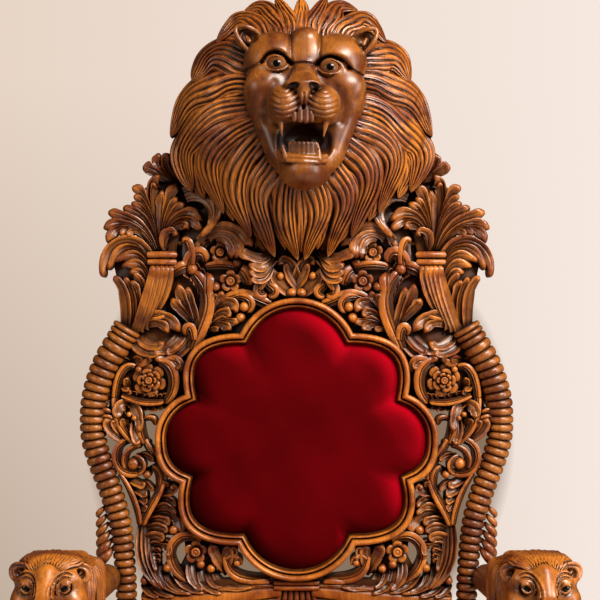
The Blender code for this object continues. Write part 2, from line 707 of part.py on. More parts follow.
def make_carving(group, look):
    """The pierced leaf carving of the -X half: fans, stems, beads, roses and one spiral."""
    pieces = []
    for fan in FANS:
        pieces += [frond(*finger) for finger in fan]
        pieces += [web(one, other) for one, other in zip(fan, fan[1:])]
    pieces += [frond(*stem) for stem in STEMS]
    for start, end in TIES:
        places = [spot(*start), spot(*end)]
        pieces.append(tube(places, [TIE_RADIUS] * 2, flat=2.0, y_centre=TIE_Y))
    for out, up, radius in BEADS:
        pieces.append(ball(spot(out, up, 0.226), (radius * MM, 0.027, radius * MM), 10, 6))
    for out, up, radius in ROSES:
        pieces += rose(out, up, radius)
    pieces += spiral(*SCROLL)
    pieces.append(collar_band(352, 27, 0.0095))
    pieces.append(collar_band(335, 25, 0.0085))
    low, high = (-0.60, 0.10, RAIL_TOP_Z + GAP), (-GAP / 2, BACK_Y, 1.62)
    lobed = [(x, MEDALLION_Z + z) for x, z in medallion_outline(-FIT, 12)]
    cuts = [(block(low, high), "INTERSECT"),
            (prism(lobed, CUT_FRONT_Y, CUT_REAR_Y), "DIFFERENCE"),
            (stile_cutter(FIT), "DIFFERENCE"),
            (prism(lion_block_outline(FIT), CUT_FRONT_Y, CUT_REAR_Y), "DIFFERENCE"),
            (block((-COLLAR_HALF - FIT, CUT_FRONT_Y, 0.60), (0.01, CUT_REAR_Y, COLLAR_TOP_Z)), "DIFFERENCE")]
    carving = fused("carving_left", pieces, CARVING_SKIN, group, cuts=cuts)
    pressed_flat(carving, low, high)
    finish(carving, look)
    finish(mirrored(carving, "carving_right", group), look)


def make_lower_collar(group, look):
    """The bound sheaf in the middle of the lower edge: two bands over short flutes."""
    pieces = [block((-0.044, 0.206, 0.692), (0.044, BACK_Y, 0.736))]
    for z in (0.732, 0.722):
        pieces.append(tube([(-0.045, 0.205, z), (0.045, 0.205, z)], [0.0058, 0.0058]))
    for index in range(7):
        x = -0.036 + 0.012 * index
        pieces.append(tube([(x * 0.9, 0.206, 0.718), (x, 0.204, 0.6915)], [0.0050, 0.0066], sides=6))
    collar = fused("lower_collar", pieces, COLLAR_SKIN, group, smooth=0)
    keep = block((-COLLAR_HALF, 0.15, RAIL_TOP_Z + GAP), (COLLAR_HALF, BACK_Y, 0.80))
    boolean(collar, keep, "INTERSECT")
    lobed = [(x, MEDALLION_Z + z) for x, z in medallion_outline(-GAP, 10)]
    boolean(collar, prism(lobed, CUT_FRONT_Y, CUT_REAR_Y), "DIFFERENCE")
    finish(collar, look)


def make_stiles(group, look):
    """Ribbed horn above, plain raking leg below, as one tube."""
    places, radii = [], []
    rings = RIB_COUNT * 2
    for step in range(rings + 1):
        fraction = step / rings
        places.append(horn_point(fraction))
        radii.append(horn_radius(fraction) - (RIB_DEPTH if step % 2 == 0 else 0.0))
    for x, y, z in REAR_LEG:
        places.append(Vector((-x, y, z)))
        radii.append(LEG_RADIUS)
    mesh = tube(places, radii, sides=STILE_SIDES)
    stile = add_object("stile_left", mesh, group)
    boolean(stile, block((-0.6, 0.0, 0.0), (0.0, HALF_DEPTH, 1.5)), "INTERSECT")
    finish(stile, look, 50.0)
    finish(mirrored(stile, "stile_right", group), look, 50.0)


# ---------------------------------------------------------------- lions

def lock(points, radii):
    """A lock of the mane along three-dimensional Bezier points."""
    steps = 7
    places = [bezier(points, step / steps) for step in range(steps + 1)]
    return tube(places, [radii[0] + (radii[1] - radii[0]) * step / steps for step in range(steps + 1)])


def pair(make):
    """What make builds on both sides of a lion's face: make is called with -1 and +1."""
    return [mesh for side in (-1, 1) for mesh in make(side)]


def crest_face():
    """The crest lion's skull, brows, muzzle, jaw and ears."""
    def at(x, y, up):
        return Vector((FACE_X + x, y, FACE_Z + up))
    parts = [
        ball(at(0, 0.150, 0.030), (0.122, 0.090, 0.140)),
        ball(at(0, 0.105, 0.085), (0.078, 0.055, 0.062)),
        tube([at(0, 0.085, 0.100), at(0, 0.045, 0.050), at(0, 0.012, 0.014)], [0.030, 0.028, 0.029]),
        ball(at(0, 0.002, 0.008), (0.033, 0.022, 0.015)),
        ball(at(0, 0.085, -0.030), (0.070, 0.062, 0.075)),
        ball(at(0, 0.068, -0.118), (0.043, 0.052, 0.042)),
        ball(at(0, 0.110, -0.105), (0.066, 0.060, 0.060)),
    ]
    parts += pair(lambda side: [
        ball(at(side * 0.031, 0.032, -0.018), (0.036, 0.036, 0.030)),
        ball(at(side * 0.078, 0.115, 0.000), (0.048, 0.045, 0.075)),
        tube([at(side * 0.022, 0.062, 0.075), at(side * 0.050, 0.060, 0.098),
              at(side * 0.085, 0.090, 0.085)], [0.010, 0.012, 0.009]),
        ball(at(side * 0.100, 0.130, 0.130), (0.024, 0.016, 0.022)),
    ])
    return parts


def crest_mane():
    """The mane's mass and its locks, which sweep out from the face and hang to points."""
    parts = [ball(Vector((FACE_X, 0.180, FACE_Z + 0.045)), (0.205, 0.064, 0.155)),
             ball(Vector((FACE_X, 0.185, FACE_Z - 0.055)), (0.222, 0.052, 0.115))]
    for index, places in enumerate(MANE_LOCKS):
        depth = [0.125, 0.120, 0.140, 0.172]
        for side in (-1, 1):
            line = [Vector((FACE_X + side * out * MM, y, FACE_Z + up * MM))
                    for (out, up), y in zip(places, depth)]
            parts.append(lock(line, (0.026, 0.013)))
    parts.append(lock([Vector((FACE_X, y, FACE_Z + up)) for y, up in
                       [(0.10, 0.130), (0.11, 0.185), (0.14, 0.205), (0.20, 0.195)]], (0.030, 0.024)))
    return parts


def set_eye(head, name, centre, radius, group, look):
    """A glass eye in a socket cut in the head."""
    boolean(head, ball(centre, [radius + GAP] * 3, 8, 5), "DIFFERENCE")
    eye = add_object(name, ball(centre, [radius] * 3, 8, 5), group)
    finish(eye, look, 80.0)
    return eye


EYE_PLACES = {"left": (-0.047, 0.067, 0.069), "right": (0.047, 0.067, 0.069)}
EYE_RADIUS = 0.016


def crest_eye_centre(side):
    x, y, up = EYE_PLACES[side]
    return Vector((FACE_X + x, y, FACE_Z + up))


def make_crest_lion(group, look, eye_look):
    """The lion's head and mane over the back, its mouth open on four fangs."""
    cuts = [(block((-0.4, -0.10, 1.20), (0.4, 0.194, 1.95)), "INTERSECT"),
            (prism(lion_block_outline(), 0.150, BACK_Y), "UNION"),
            (ball(Vector((FACE_X, 0.030, FACE_Z - 0.068)), (0.040, 0.050, 0.026)), "DIFFERENCE")]
    for side in (-1, 1):
        for up, drop, out in ((-0.045, -0.034, 0.027), (-0.095, 0.028, 0.023)):
            base = Vector((FACE_X + side * out, 0.022, FACE_Z + up))
            cuts.append((tube([base, base + Vector((0, 0, drop))], [0.0085, 0.0030]), "UNION"))
    lion = fused("crest_lion", crest_face() + crest_mane(), CREST_SKIN, group, cuts=cuts)
    pressed_flat(lion, (-0.5, -0.5, 0.0), (0.5, BACK_Y, 2.0))
    for side in ("left", "right"):
        set_eye(lion, "crest_eye_" + side, crest_eye_centre(side), EYE_RADIUS, group, eye_look)
    finish(lion, look)


ARM_FLOOR_Z = 0.700       # flat joint between each arm and its front leg
ARM_EYES = {"outer": (-0.030, -0.3065, 0.829), "inner": (0.030, -0.3065, 0.829)}
ARM_EYE_RADIUS = 0.0085


def make_arms(group, look, eye_look):
    """Each arm: a lion's head and mane in front, a rail and a leaf scroll up the stile behind."""
    def at(x, y, z):
        return Vector((-ARM_X + x, y, z))
    parts = [
        ball(at(0, -0.245, 0.815), (0.060, 0.072, 0.056)),
        ball(at(0, -0.312, 0.788), (0.036, 0.050, 0.036)),
        tube([at(0, -0.300, 0.840), at(0, -0.340, 0.812), at(0, -0.362, 0.798)], [0.018, 0.015, 0.015]),
        ball(at(0, -0.366, 0.797), (0.015, 0.010, 0.008)),
        ball(at(0, -0.325, 0.745), (0.026, 0.034, 0.022)),
        ball(at(0, -0.225, 0.765), (0.056, 0.070, 0.075)),
        tube([at(0, -0.230, 0.790), at(0, -0.235, 0.740), at(0, -0.240, 0.690)], [0.058, 0.052, 0.046]),
        tube([at(0, -0.210, 0.800), at(0.004, -0.100, 0.775), at(0.012, 0.040, 0.748),
              at(0.022, 0.200, 0.740)], [0.056, 0.042, 0.030, 0.026]),
    ]
    for side in (-1, 1):
        parts.append(ball(at(side * 0.018, -0.347, 0.782), (0.019, 0.020, 0.017)))
        parts.append(ball(at(side * 0.052, -0.262, 0.850), (0.014, 0.010, 0.014)))
        parts.append(tube([at(side * 0.012, -0.312, 0.845), at(side * 0.030, -0.312, 0.852),
                           at(side * 0.047, -0.295, 0.842)], [0.006, 0.007, 0.006], sides=6))
        for drop in range(3):
            start = at(side * 0.050, -0.262 + 0.020 * drop, 0.835 - 0.022 * drop)
            middle = at(side * 0.066, -0.200 + 0.022 * drop, 0.800 - 0.026 * drop)
            end = at(side * 0.052, -0.120 + 0.010 * drop, 0.755 - 0.018 * drop)
            parts.append(lock([start, middle, end], (0.016, 0.007)))
    for step in range(5):
        z = 0.765 + 0.028 * step
        reach = 0.018 - 0.0018 * step
        parts.append(ball(Vector((-0.368 - 0.001 * step, 0.183, z)), (reach, 0.017, 0.019), 10, 8))
    arm = fused("arm_left", parts, ARM_SKIN, group, cuts=[(stile_cutter(FIT), "DIFFERENCE")])
    boolean(arm, block((-0.60, -0.45, ARM_FLOOR_Z + GAP), (-0.20, 0.60, 1.0)), "INTERSECT")
    largest_body(arm)
    for place, (x, y, z) in ARM_EYES.items():
        eye = set_eye(arm, "arm_eye_left_" + place, at(x, y, z), ARM_EYE_RADIUS, group, eye_look)
        finish(mirrored(eye, "arm_eye_right_" + place, group), eye_look, 80.0)
    finish(arm, look)
    finish(mirrored(arm, "arm_right", group), look)


FRONT_LEG = [((0.0, -0.238, 0.720), 0.046), ((0.0, -0.250, 0.640), 0.045), ((0.0, -0.272, 0.540), 0.040),
             ((0.0, -0.292, 0.420), 0.037), ((0.0, -0.302, 0.300), 0.032), ((0.0, -0.306, 0.180), 0.026),
             ((0.0, -0.306, 0.090), 0.026), ((0.0, -0.312, 0.020), 0.030)]


LEG_SIDES = 10


def front_leg_tube(extra):
    """The foreleg's column, wider by extra."""
    corner = 1 / math.cos(math.pi / LEG_SIDES)
    places = [Vector((-ARM_X + x, y, z)) for (x, y, z), _ in FRONT_LEG]
    return tube(places, [(radius + extra) * corner for _, radius in FRONT_LEG], LEG_SIDES)


def make_front_legs(group, look):
    """A lion's foreleg under each arm, down to a four-toed paw."""
    parts = [front_leg_tube(0.0), ball(Vector((-ARM_X, -0.332, 0.024)), (0.043, 0.060, 0.034))]
    for toe in range(4):
        x = -ARM_X + (toe - 1.5) * 0.021
        y = -0.376 + 0.008 * abs(toe - 1.5)
        parts.append(ball(Vector((x, y, 0.016)), (0.0125, 0.023, 0.021), 10, 8))
    leg = fused("front_leg_left", parts, LEG_SKIN, group)
    boolean(leg, block((-0.60, -HALF_DEPTH, 0.0), (-0.20, 0.0, ARM_FLOOR_Z)), "INTERSECT")
    largest_body(leg)
    finish(leg, look)
    finish(mirrored(leg, "front_leg_right", group), look)


# ---------------------------------------------------------------- seat

RAIL_FIT = 0.0006         # clearance of a rail's end round a leg
FRONT_RAIL_Y = (-0.318, -0.282)
SIDE_RAIL_END_Y = 0.197
RAIL_THICK = 0.034
BOARD_THICK = 0.015
CUSHION_TOP_Z = 0.530
CUSHION_HALF = (0.318, 0.275)             # half its width, in front and behind
CUSHION_Y = (-0.318, 0.178)


def mirror_mesh(mesh):
    """Turn a mesh into its mirror image across the middle plane."""
    for vert in mesh.vertices:
        vert.co.x = -vert.co.x
    mesh.flip_normals()
    return mesh


def cut_on_both_sides(rail, make_cutter):
    """Cut a rail where it meets a left piece, and where it meets that piece's mirror image."""
    boolean(rail, make_cutter(), "DIFFERENCE")
    boolean(rail, mirror_mesh(make_cutter()), "DIFFERENCE")


def stile_clearance():
    return stile_cutter(RAIL_FIT)


def front_leg_clearance():
    return front_leg_tube(2 * RAIL_FIT)


def make_side_rails(group, look):
    """The side seat rails, from each front leg straight back to the rear leg."""
    side_outline = [(-0.276, SEAT_HEIGHT), (SIDE_RAIL_END_Y, SEAT_HEIGHT), (SIDE_RAIL_END_Y, 0.345),
                    (-0.276, 0.310)]
    shape = bmesh.new()
    ring = [shape.verts.new((-0.368 + 0.033 * (y > 0), y, z)) for y, z in side_outline]
    bmesh.ops.recalc_face_normals(shape, faces=[shape.faces.new(ring)])
    bmesh.ops.solidify(shape, geom=shape.faces, thickness=RAIL_THICK)
    bmesh.ops.recalc_face_normals(shape, faces=shape.faces)
    mesh = bpy.data.meshes.new("side_rail_left")
    shape.to_mesh(mesh)
    shape.free()
    side = add_object("side_rail_left", mesh, group)
    boolean(side, stile_clearance(), "DIFFERENCE")
    boolean(side, front_leg_clearance(), "DIFFERENCE")
    boolean(side, block((-0.5, -0.40, 0.2), (-0.2, FRONT_RAIL_Y[1] + GAP, 0.5)), "DIFFERENCE")
    largest_body(side)
    finish(side, look)
    finish(mirrored(side, "side_rail_right", group), look)


def make_rails(group, look):
    """The front rail with its shaped apron, the rear rail and the lower back rail."""
    half = [(0.372, SEAT_HEIGHT), (0.372, 0.300), (0.300, 0.285), (0.230, 0.300), (0.160, 0.275),
            (0.080, 0.262), (0.0, 0.240)]
    outline = [(-x, z) for x, z in half] + [(x, z) for x, z in reversed(half[:-1])]
    front = add_object("front_rail", prism(outline, *FRONT_RAIL_Y), group)
    rear = add_object("rear_rail", block((-0.315, 0.198, 0.345), (0.315, 0.232, SEAT_HEIGHT)), group)
    lower = add_object("lower_back_rail", block((-0.335, 0.196, RAIL_LOW_Z), (0.335, 0.236, RAIL_TOP_Z)),
                       group)
    for rail in (rear, lower):
        soften = rail.modifiers.new("edges", "BEVEL")
        soften.width = 0.006
        soften.segments = 1
        bake(rail)
    cut_on_both_sides(front, front_leg_clearance)
    for rail in (front, rear, lower):
        cut_on_both_sides(rail, stile_clearance)
        largest_body(rail)
        finish(rail, look)
    make_side_rails(group, look)


def make_seat(group, wood, velvet):
    """A seat board on the rails and a loose velvet cushion on the board."""
    board_top = SEAT_HEIGHT + GAP + BOARD_THICK
    outline = [(-0.325, -0.300), (0.325, -0.300), (0.325, -0.200), (0.285, 0.190), (-0.285, 0.190),
               (-0.325, -0.200)]
    shape = bmesh.new()
    face = shape.faces.new([shape.verts.new((x, y, SEAT_HEIGHT + GAP)) for x, y in outline])
    swept = bmesh.ops.extrude_face_region(shape, geom=[face])
    moved = [item for item in swept["geom"] if isinstance(item, bmesh.types.BMVert)]
    bmesh.ops.translate(shape, vec=(0, 0, BOARD_THICK), verts=moved)
    bmesh.ops.recalc_face_normals(shape, faces=shape.faces)
    mesh = bpy.data.meshes.new("seat_board")
    shape.to_mesh(mesh)
    shape.free()
    finish(add_object("seat_board", mesh, group), wood)

    front_half, rear_half = CUSHION_HALF
    mesh = block((-front_half, CUSHION_Y[0], board_top + GAP), (front_half, CUSHION_Y[1], CUSHION_TOP_Z))
    for vert in mesh.vertices:
        if vert.co.y > 0:
            vert.co.x *= rear_half / front_half
    cushion = add_object("seat_cushion", mesh, group)
    round_edges = cushion.modifiers.new("edges", "BEVEL")
    round_edges.width = 0.030
    round_edges.segments = 2
    bake(cushion)
    finish(cushion, velvet, 60.0)


def main():
    clear_scene()
    group = collection("throne")
    wood = material("carved_wood", GOLDEN_WOOD, 0.30)
    backing = material("backing_wood", DARK_WOOD, 0.60)
    velvet = material("velvet", VELVET_RED, 0.90)
    glass = material("eyes", EYE_GLASS, 0.10)
    make_back_panel(group, backing)
    make_medallion_frame(group, wood)
    make_medallion_pad(group, velvet)
    make_carving(group, wood)
    make_lower_collar(group, wood)
    make_stiles(group, wood)
    make_crest_lion(group, wood, glass)
    make_arms(group, wood, glass)
    make_front_legs(group, wood)
    make_rails(group, wood)
    make_seat(group, wood, velvet)


main()
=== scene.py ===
"""Looks of the carved lion throne: every carved surface, the velvet, the lights and the camera.

Metres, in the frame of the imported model: +Z up, the front faces -Y. The leaf carving on the
back is laid out as (out, up) in millimetres from the medallion's centre for the -X half, and
the +X half is its mirror image.
"""
import json
import math
import random

import bmesh
import bpy
import numpy as np
import openvdb
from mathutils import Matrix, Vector


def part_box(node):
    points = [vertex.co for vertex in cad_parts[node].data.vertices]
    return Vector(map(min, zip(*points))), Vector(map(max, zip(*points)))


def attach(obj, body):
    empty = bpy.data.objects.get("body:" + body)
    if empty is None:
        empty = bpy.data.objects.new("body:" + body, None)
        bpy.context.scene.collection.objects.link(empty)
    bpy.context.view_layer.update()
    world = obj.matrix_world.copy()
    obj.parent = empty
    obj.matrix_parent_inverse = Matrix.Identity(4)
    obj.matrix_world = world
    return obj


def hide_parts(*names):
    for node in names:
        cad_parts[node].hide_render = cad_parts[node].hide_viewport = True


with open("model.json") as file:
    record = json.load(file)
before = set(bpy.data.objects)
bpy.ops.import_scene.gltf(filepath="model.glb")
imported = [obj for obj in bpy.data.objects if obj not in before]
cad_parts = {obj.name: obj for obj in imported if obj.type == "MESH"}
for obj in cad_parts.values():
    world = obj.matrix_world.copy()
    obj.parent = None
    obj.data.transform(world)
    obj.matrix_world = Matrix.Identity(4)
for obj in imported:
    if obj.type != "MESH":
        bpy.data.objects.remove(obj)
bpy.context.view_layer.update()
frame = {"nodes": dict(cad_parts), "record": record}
MM = 0.001
SIDES = (("left", False), ("right", True))


# ---------------------------------------------------------------- places read from the model

def middle(node):
    """The middle of a node's box."""
    low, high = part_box(node)
    return (low + high) / 2


MEDALLION_Z = middle("medallion_frame").z
BACK_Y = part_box("medallion_frame")[1].y
REAR_Y = BACK_Y - 0.0015
ARM_X = 0.382
ARM_FLOOR_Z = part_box("front_leg_left")[1].z


# ---------------------------------------------------------------- mesh helpers

def new_object(name, data):
    """A new object in the scene."""
    item = bpy.data.objects.new(name, data)
    bpy.context.scene.collection.objects.link(item)
    return item


def mesh_of(shape, name):
    """The mesh of a modelled bmesh, which is freed."""
    mesh = bpy.data.meshes.new(name)
    shape.to_mesh(mesh)
    shape.free()
    return mesh


def join(x, y, z):
    """Points from their coordinates, any of which may be one value for all."""
    return np.stack(np.broadcast_arrays(x, y, z), axis=-1)


def circle(count):
    """Evenly spaced angles once round."""
    return np.linspace(0, 2 * np.pi, count, endpoint=False)


def unit(vectors, least=1e-9):
    """The vectors along the last axis, each one unit long."""
    return vectors / (np.linalg.norm(vectors, axis=-1, keepdims=True) + least)


class Shells:
    """Closed shells gathered into one piece, each point with a tone: 1 on a ridge, 0 in a groove; the wood
    paints shade on low tones and a highlight on high ones.
    """

    def __init__(self):
        self.points, self.faces, self.tones, self.total = [], [], [], 0

    def add(self, rings, tones, caps=True):
        """Rings of points, shaped (rings, round, 3), skinned into a closed tube."""
        rings = np.asarray(rings, float)
        count, around = rings.shape[:2]
        index = self.total + np.arange(count * around).reshape(count, around)
        following = np.roll(index, -1, axis=1)
        quads = np.stack([index[:-1], following[:-1], following[1:], index[1:]], axis=-1)
        self.faces += quads.reshape(-1, 4).tolist()
        if caps:
            self.faces.append(index[0][::-1].tolist())
            self.faces.append(index[-1].tolist())
        self.points.append(rings.reshape(-1, 3))
        self.tones.append(np.broadcast_to(tones, (count, around)).reshape(-1))
        self.total += count * around

    def add_mesh(self, points, faces, tones):
        """A closed mesh of points and faces."""
        self.faces += (np.asarray(faces) + self.total).tolist()
        self.points.append(np.asarray(points, float))
        self.tones.append(np.asarray(tones, float))
        self.total += len(points)

    def build(self, name, mirror=False, sharp=50.0, most=None):
        """Make the object, mirrored over the middle plane or not, with at most so many triangles."""
        points = np.concatenate(self.points)
        if mirror:
            points = points * [-1, 1, 1]
        mesh = bpy.data.meshes.new(name)
        mesh.from_pydata(points.tolist(), [], self.faces)
        mesh.attributes.new("tone", "FLOAT", "POINT")
        mesh.attributes["tone"].data.foreach_set("value", np.concatenate(self.tones).astype(np.float32))
        recalculate(mesh)
        item = new_object(name, mesh)
        if most:
            thin(item, most)
        item.data.shade_smooth()
        item.data.set_sharp_from_angle(angle=math.radians(sharp))
        return item


def recalculate(mesh):
    """Turn every face outward."""
    shape = bmesh.new()
    shape.from_mesh(mesh)
    bmesh.ops.recalc_face_normals(shape, faces=shape.faces)
    shape.to_mesh(mesh)
    shape.free()


def thin(item, most):
    """Merge the flattest neighbouring faces until a piece has at most so many triangles."""
    triangles = sum(len(face.vertices) - 2 for face in item.data.polygons)
    item.modifiers.new("thin", "DECIMATE").ratio = min(1.0, most / triangles)
    seen = item.evaluated_get(bpy.context.evaluated_depsgraph_get())
    item.data = bpy.data.meshes.new_from_object(seen)
    item.modifiers.clear()


def bezier(points, t):
    """Points of a Bezier curve of any degree at the values t."""
    rows = [np.asarray(p, float) for p in points]
    t = np.asarray(t, float)[:, None]
    rows = [np.broadcast_to(row, (len(t), len(row))) for row in rows]
    while len(rows) > 1:
        rows = [a + (b - a) * t for a, b in zip(rows, rows[1:])]
    return rows[0]


def smooth_line(points, steps):
    """A Catmull-Rom curve through the points, evenly stepped by index."""
    p = np.asarray(points, float)
    p = np.vstack([2 * p[0] - p[1], p, 2 * p[-1] - p[-2]])
    u = np.linspace(0, len(points) - 1, steps)
    i = np.minimum(u.astype(int), len(points) - 2)
    t = (u - i)[:, None]
    a, b, c, d = p[i], p[i + 1], p[i + 2], p[i + 3]
    return (2 * b + (c - a) * t + (2 * a - 5 * b + 4 * c - d) * t ** 2
            + (3 * b - a - 3 * c + d) * t ** 3) / 2


def spot(plan, y):
    """Plan points (out, up) in mm on the -X half, at depth y, as world points."""
    plan = np.asarray(plan, float)
    return join(-plan[..., 0] * MM, y, MEDALLION_Z + plan[..., 1] * MM)


def across(path):
    """Unit normals in the plan of a plan path."""
    along = unit(np.gradient(path, axis=0))
    return np.stack([-along[:, 1], along[:, 0]], axis=-1)


# ---------------------------------------------------------------- materials

def nodes_of(name):
    """A new material, its node tree and its shader."""
    look = bpy.data.materials.new(name)
    look.use_nodes = True
    tree = look.node_tree
    return look, tree, tree.nodes["Principled BSDF"]


def feed(tree, node, values):
    """Fill a node's inputs, each with a number, a vector, a colour or another node's output."""
    for key, value in dict(values).items():
        socket = node.inputs[key]
        if isinstance(value, bpy.types.NodeSocket):
            tree.links.new(value, socket)
        elif socket.type == "RGBA":
            socket.default_value = (*value, 1.0)
        else:
            socket.default_value = value


def add_node(tree, kind, values=(), **settings):
    """A new node with its settings and its inputs."""
    node = tree.nodes.new(kind)
    for key, value in settings.items():
        setattr(node, key, value)
    feed(tree, node, values)
    return node


def ramp(tree, source, stops):
    """A colour ramp over stops of (position, colour)."""
    node = add_node(tree, "ShaderNodeValToRGB", {"Fac": source})
    row = node.color_ramp.elements
    while len(row) < len(stops):
        row.new(0.5)
    for element, (place, colour) in zip(row, stops):
        element.position = place
        element.color = (*colour, 1.0)
    return node.outputs["Color"]


def mix(tree, factor, one, other, blend="MIX"):
    """Two colours mixed, or multiplied, by a factor."""
    factor_socket, one_socket, other_socket = 0, 6, 7
    node = add_node(tree, "ShaderNodeMix", data_type="RGBA", blend_type=blend)
    feed(tree, node, {factor_socket: factor, one_socket: one, other_socket: other})
    return node.outputs[2]


def math_node(tree, operation, one, other, third=0.0, clamp=False):
    """One sum on numbers or other nodes' outputs."""
    values = {0: one, 1: other, 2: third}
    return add_node(tree, "ShaderNodeMath", values, operation=operation, use_clamp=clamp).outputs[0]


def noise(tree, place, scale, detail, **more):
    """Cloudy noise of a given scale."""
    values = {"Vector": place, "Scale": scale, "Detail": detail, **more}
    return add_node(tree, "ShaderNodeTexNoise", values).outputs["Fac"]


def bump(tree, height, strength, distance):
    """The surface's direction over small bumps."""
    values = {"Height": height, "Strength": strength, "Distance": distance}
    return add_node(tree, "ShaderNodeBump", values).outputs["Normal"]


def object_place(tree):
    """The place on the object, in metres."""
    return add_node(tree, "ShaderNodeTexCoord").outputs["Object"]


def point_tone(tree):
    """The tone that Shells gives each point."""
    return add_node(tree, "ShaderNodeAttribute", attribute_name="tone").outputs["Fac"]


GRAIN_SCALE = (80, 80, 4)
BLACK, WHITE = (0.0, 0.0, 0.0), (1.0, 1.0, 1.0)


def wood(name, light, deep, glaze_and_painted_shade, use_tone=True, roughness=(0.34, 0.52)):
    """Lacquered carved wood: grain and cloudy colour, a painted highlight on the ridges, and dark glaze
    with painted shade in the hollows.
    """
    look, tree, shader = nodes_of(name)
    place = object_place(tree)
    along_grain = add_node(tree, "ShaderNodeMapping", {"Vector": place, "Scale": GRAIN_SCALE})
    grain = noise(tree, along_grain.outputs["Vector"], 2.2, 6.0, Roughness=0.62, Distortion=0.6)
    cloud = noise(tree, place, 11.0, 4.0, Roughness=0.6, Distortion=0.8)
    base = ramp(tree, cloud, [(0.40, deep), (0.60, light)])
    fibre = ramp(tree, grain, [(0.30, (0.42, 0.34, 0.28)), (0.60, WHITE)])
    colour = mix(tree, 0.7, base, fibre, "MULTIPLY")
    # Painted shade: ambient occlusion mixes the dark glaze colour into creases and recesses
    occlusion = add_node(tree, "ShaderNodeAmbientOcclusion", {"Distance": 0.014}, samples=6)
    raised = ramp(tree, occlusion.outputs["AO"], [(0.34, BLACK), (0.93, WHITE)])
    if use_tone:
        tone = point_tone(tree)
        ridge = ramp(tree, tone, [(0.03, (0.02, 0.02, 0.02)), (0.48, WHITE)])
        raised = mix(tree, 1.0, raised, ridge, "MULTIPLY")
        # Painted highlight on the ridges and painted shade in the grooves, from each point's tone
        painted_ridge_gain = math_node(tree, "MULTIPLY_ADD", tone, 2.2, -0.58)
        painted_ridge_light = math_node(tree, "MAXIMUM", painted_ridge_gain, 0.76)
        colour = mix(tree, 1.0, colour, painted_ridge_light, "MULTIPLY")
    smooth, rough = roughness
    feed(tree, shader, {
        "Base Color": mix(tree, raised, glaze_and_painted_shade, colour),
        "Roughness": ramp(tree, grain, [(0.3, (rough,) * 3), (0.7, (smooth,) * 3)]),
        "Normal": bump(tree, grain, 0.18, 0.0012),
        "Coat Weight": math_node(tree, "MULTIPLY", raised, 0.80),
        "Specular IOR Level": 0.35,
        "Coat Roughness": 0.30,
    })
    return look


def velvet(name, dark, bright):
    """Crimson pile: dark face on, with painted light where it turns up and to the right toward the lamps,
    and painted shade where it turns away.
    """
    look, tree, shader = nodes_of(name)
    place = object_place(tree)
    brushed = noise(tree, place, 5.0, 3.0, Roughness=0.5)
    pile = noise(tree, place, 900.0, 2.0)
    stroked = [0.7 * a + 0.3 * b for a, b in zip(dark, bright)]
    patch = ramp(tree, brushed, [(0.25, dark), (0.85, stroked)])
    normal = add_node(tree, "ShaderNodeNewGeometry").outputs["Normal"]
    lean = add_node(tree, "ShaderNodeSeparateXYZ", {"Vector": normal}).outputs
    # Painted light and painted shade by how far the surface leans up and to the right
    right = math_node(tree, "MULTIPLY", lean["X"], 0.80)
    lightward = math_node(tree, "MULTIPLY_ADD", lean["Z"], 0.60, right)
    turned = math_node(tree, "MULTIPLY_ADD", lightward, 1.30, -0.14, clamp=True)
    colour = mix(tree, turned, patch, [1.2 * part for part in bright])
    shade = math_node(tree, "MULTIPLY_ADD", lightward, 1.1, 1.06, clamp=True)
    feed(tree, shader, {
        "Base Color": mix(tree, 1.0, colour, shade, "MULTIPLY"),
        "Normal": bump(tree, pile, 0.25, 0.0006),
        "Roughness": 0.88,
        "Specular IOR Level": 0.03,
        "Sheen Weight": 0.40,
        "Sheen Roughness": 0.42,
        "Sheen Tint": (1.0, 0.01, 0.03),
    })
    return look


def polished_eye(name, ring, ball, gloss):
    """A glassy eye: black pupil, thin ring, ball, by a tone that runs from the pupil to the back."""
    look, tree, shader = nodes_of(name)
    pupil = (0.001, 0.001, 0.001)
    shaded = [0.4 * part for part in ball]
    stops = [(0.0, pupil), (0.108, pupil), (0.120, ring), (0.140, ring), (0.155, shaded), (0.30, ball)]
    feed(tree, shader, {
        "Base Color": ramp(tree, point_tone(tree), stops),
        "Roughness": 0.4,
        "Specular IOR Level": 0.02,
        "Coat Weight": gloss,
        "Coat Roughness": 0.03,
    })
    return look


LIGHT_WOOD = (0.50, 0.160, 0.016)
DEEP_WOOD = (0.19, 0.040, 0.003)
# Dark glaze colour, which also stands in for shade in the hollows
GLAZE_AND_PAINTED_SHADE = (0.014, 0.0016, 0.0003)
CARVED = wood("carved_wood", LIGHT_WOOD, DEEP_WOOD, GLAZE_AND_PAINTED_SHADE)
PLAIN = wood("plain_wood", LIGHT_WOOD, DEEP_WOOD, GLAZE_AND_PAINTED_SHADE, use_tone=False)
BACKING = wood("backing_wood", (0.055, 0.020, 0.009), (0.028, 0.010, 0.005), (0.006, 0.003, 0.002),
               use_tone=False, roughness=(0.5, 0.7))
VELVET = velvet("velvet", (0.055, 0.0002, 0.0006), (0.40, 0.0005, 0.0090))
EYE = polished_eye("polished_eye", (0.12, 0.05, 0.02), (0.27, 0.092, 0.026), 0.5)
DARK_EYE = polished_eye("dark_eye", (0.003, 0.001, 0.001), (0.002, 0.001, 0.001), 1.0)


def dress(item, look, node):
    """Give a piece its material and its slot; it rides on the throne and stands for the node."""
    item.data.materials.clear()
    item.data.materials.append(look)
    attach(item, "root")
    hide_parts(node)


def carve(shells, name, node, mirror=False, sharp=50.0, most=None):
    """Build a carved wooden piece in place of one node."""
    dress(shells.build(name, mirror, sharp, most), CARVED, node)


# ---------------------------------------------------------------- stiles and medallion

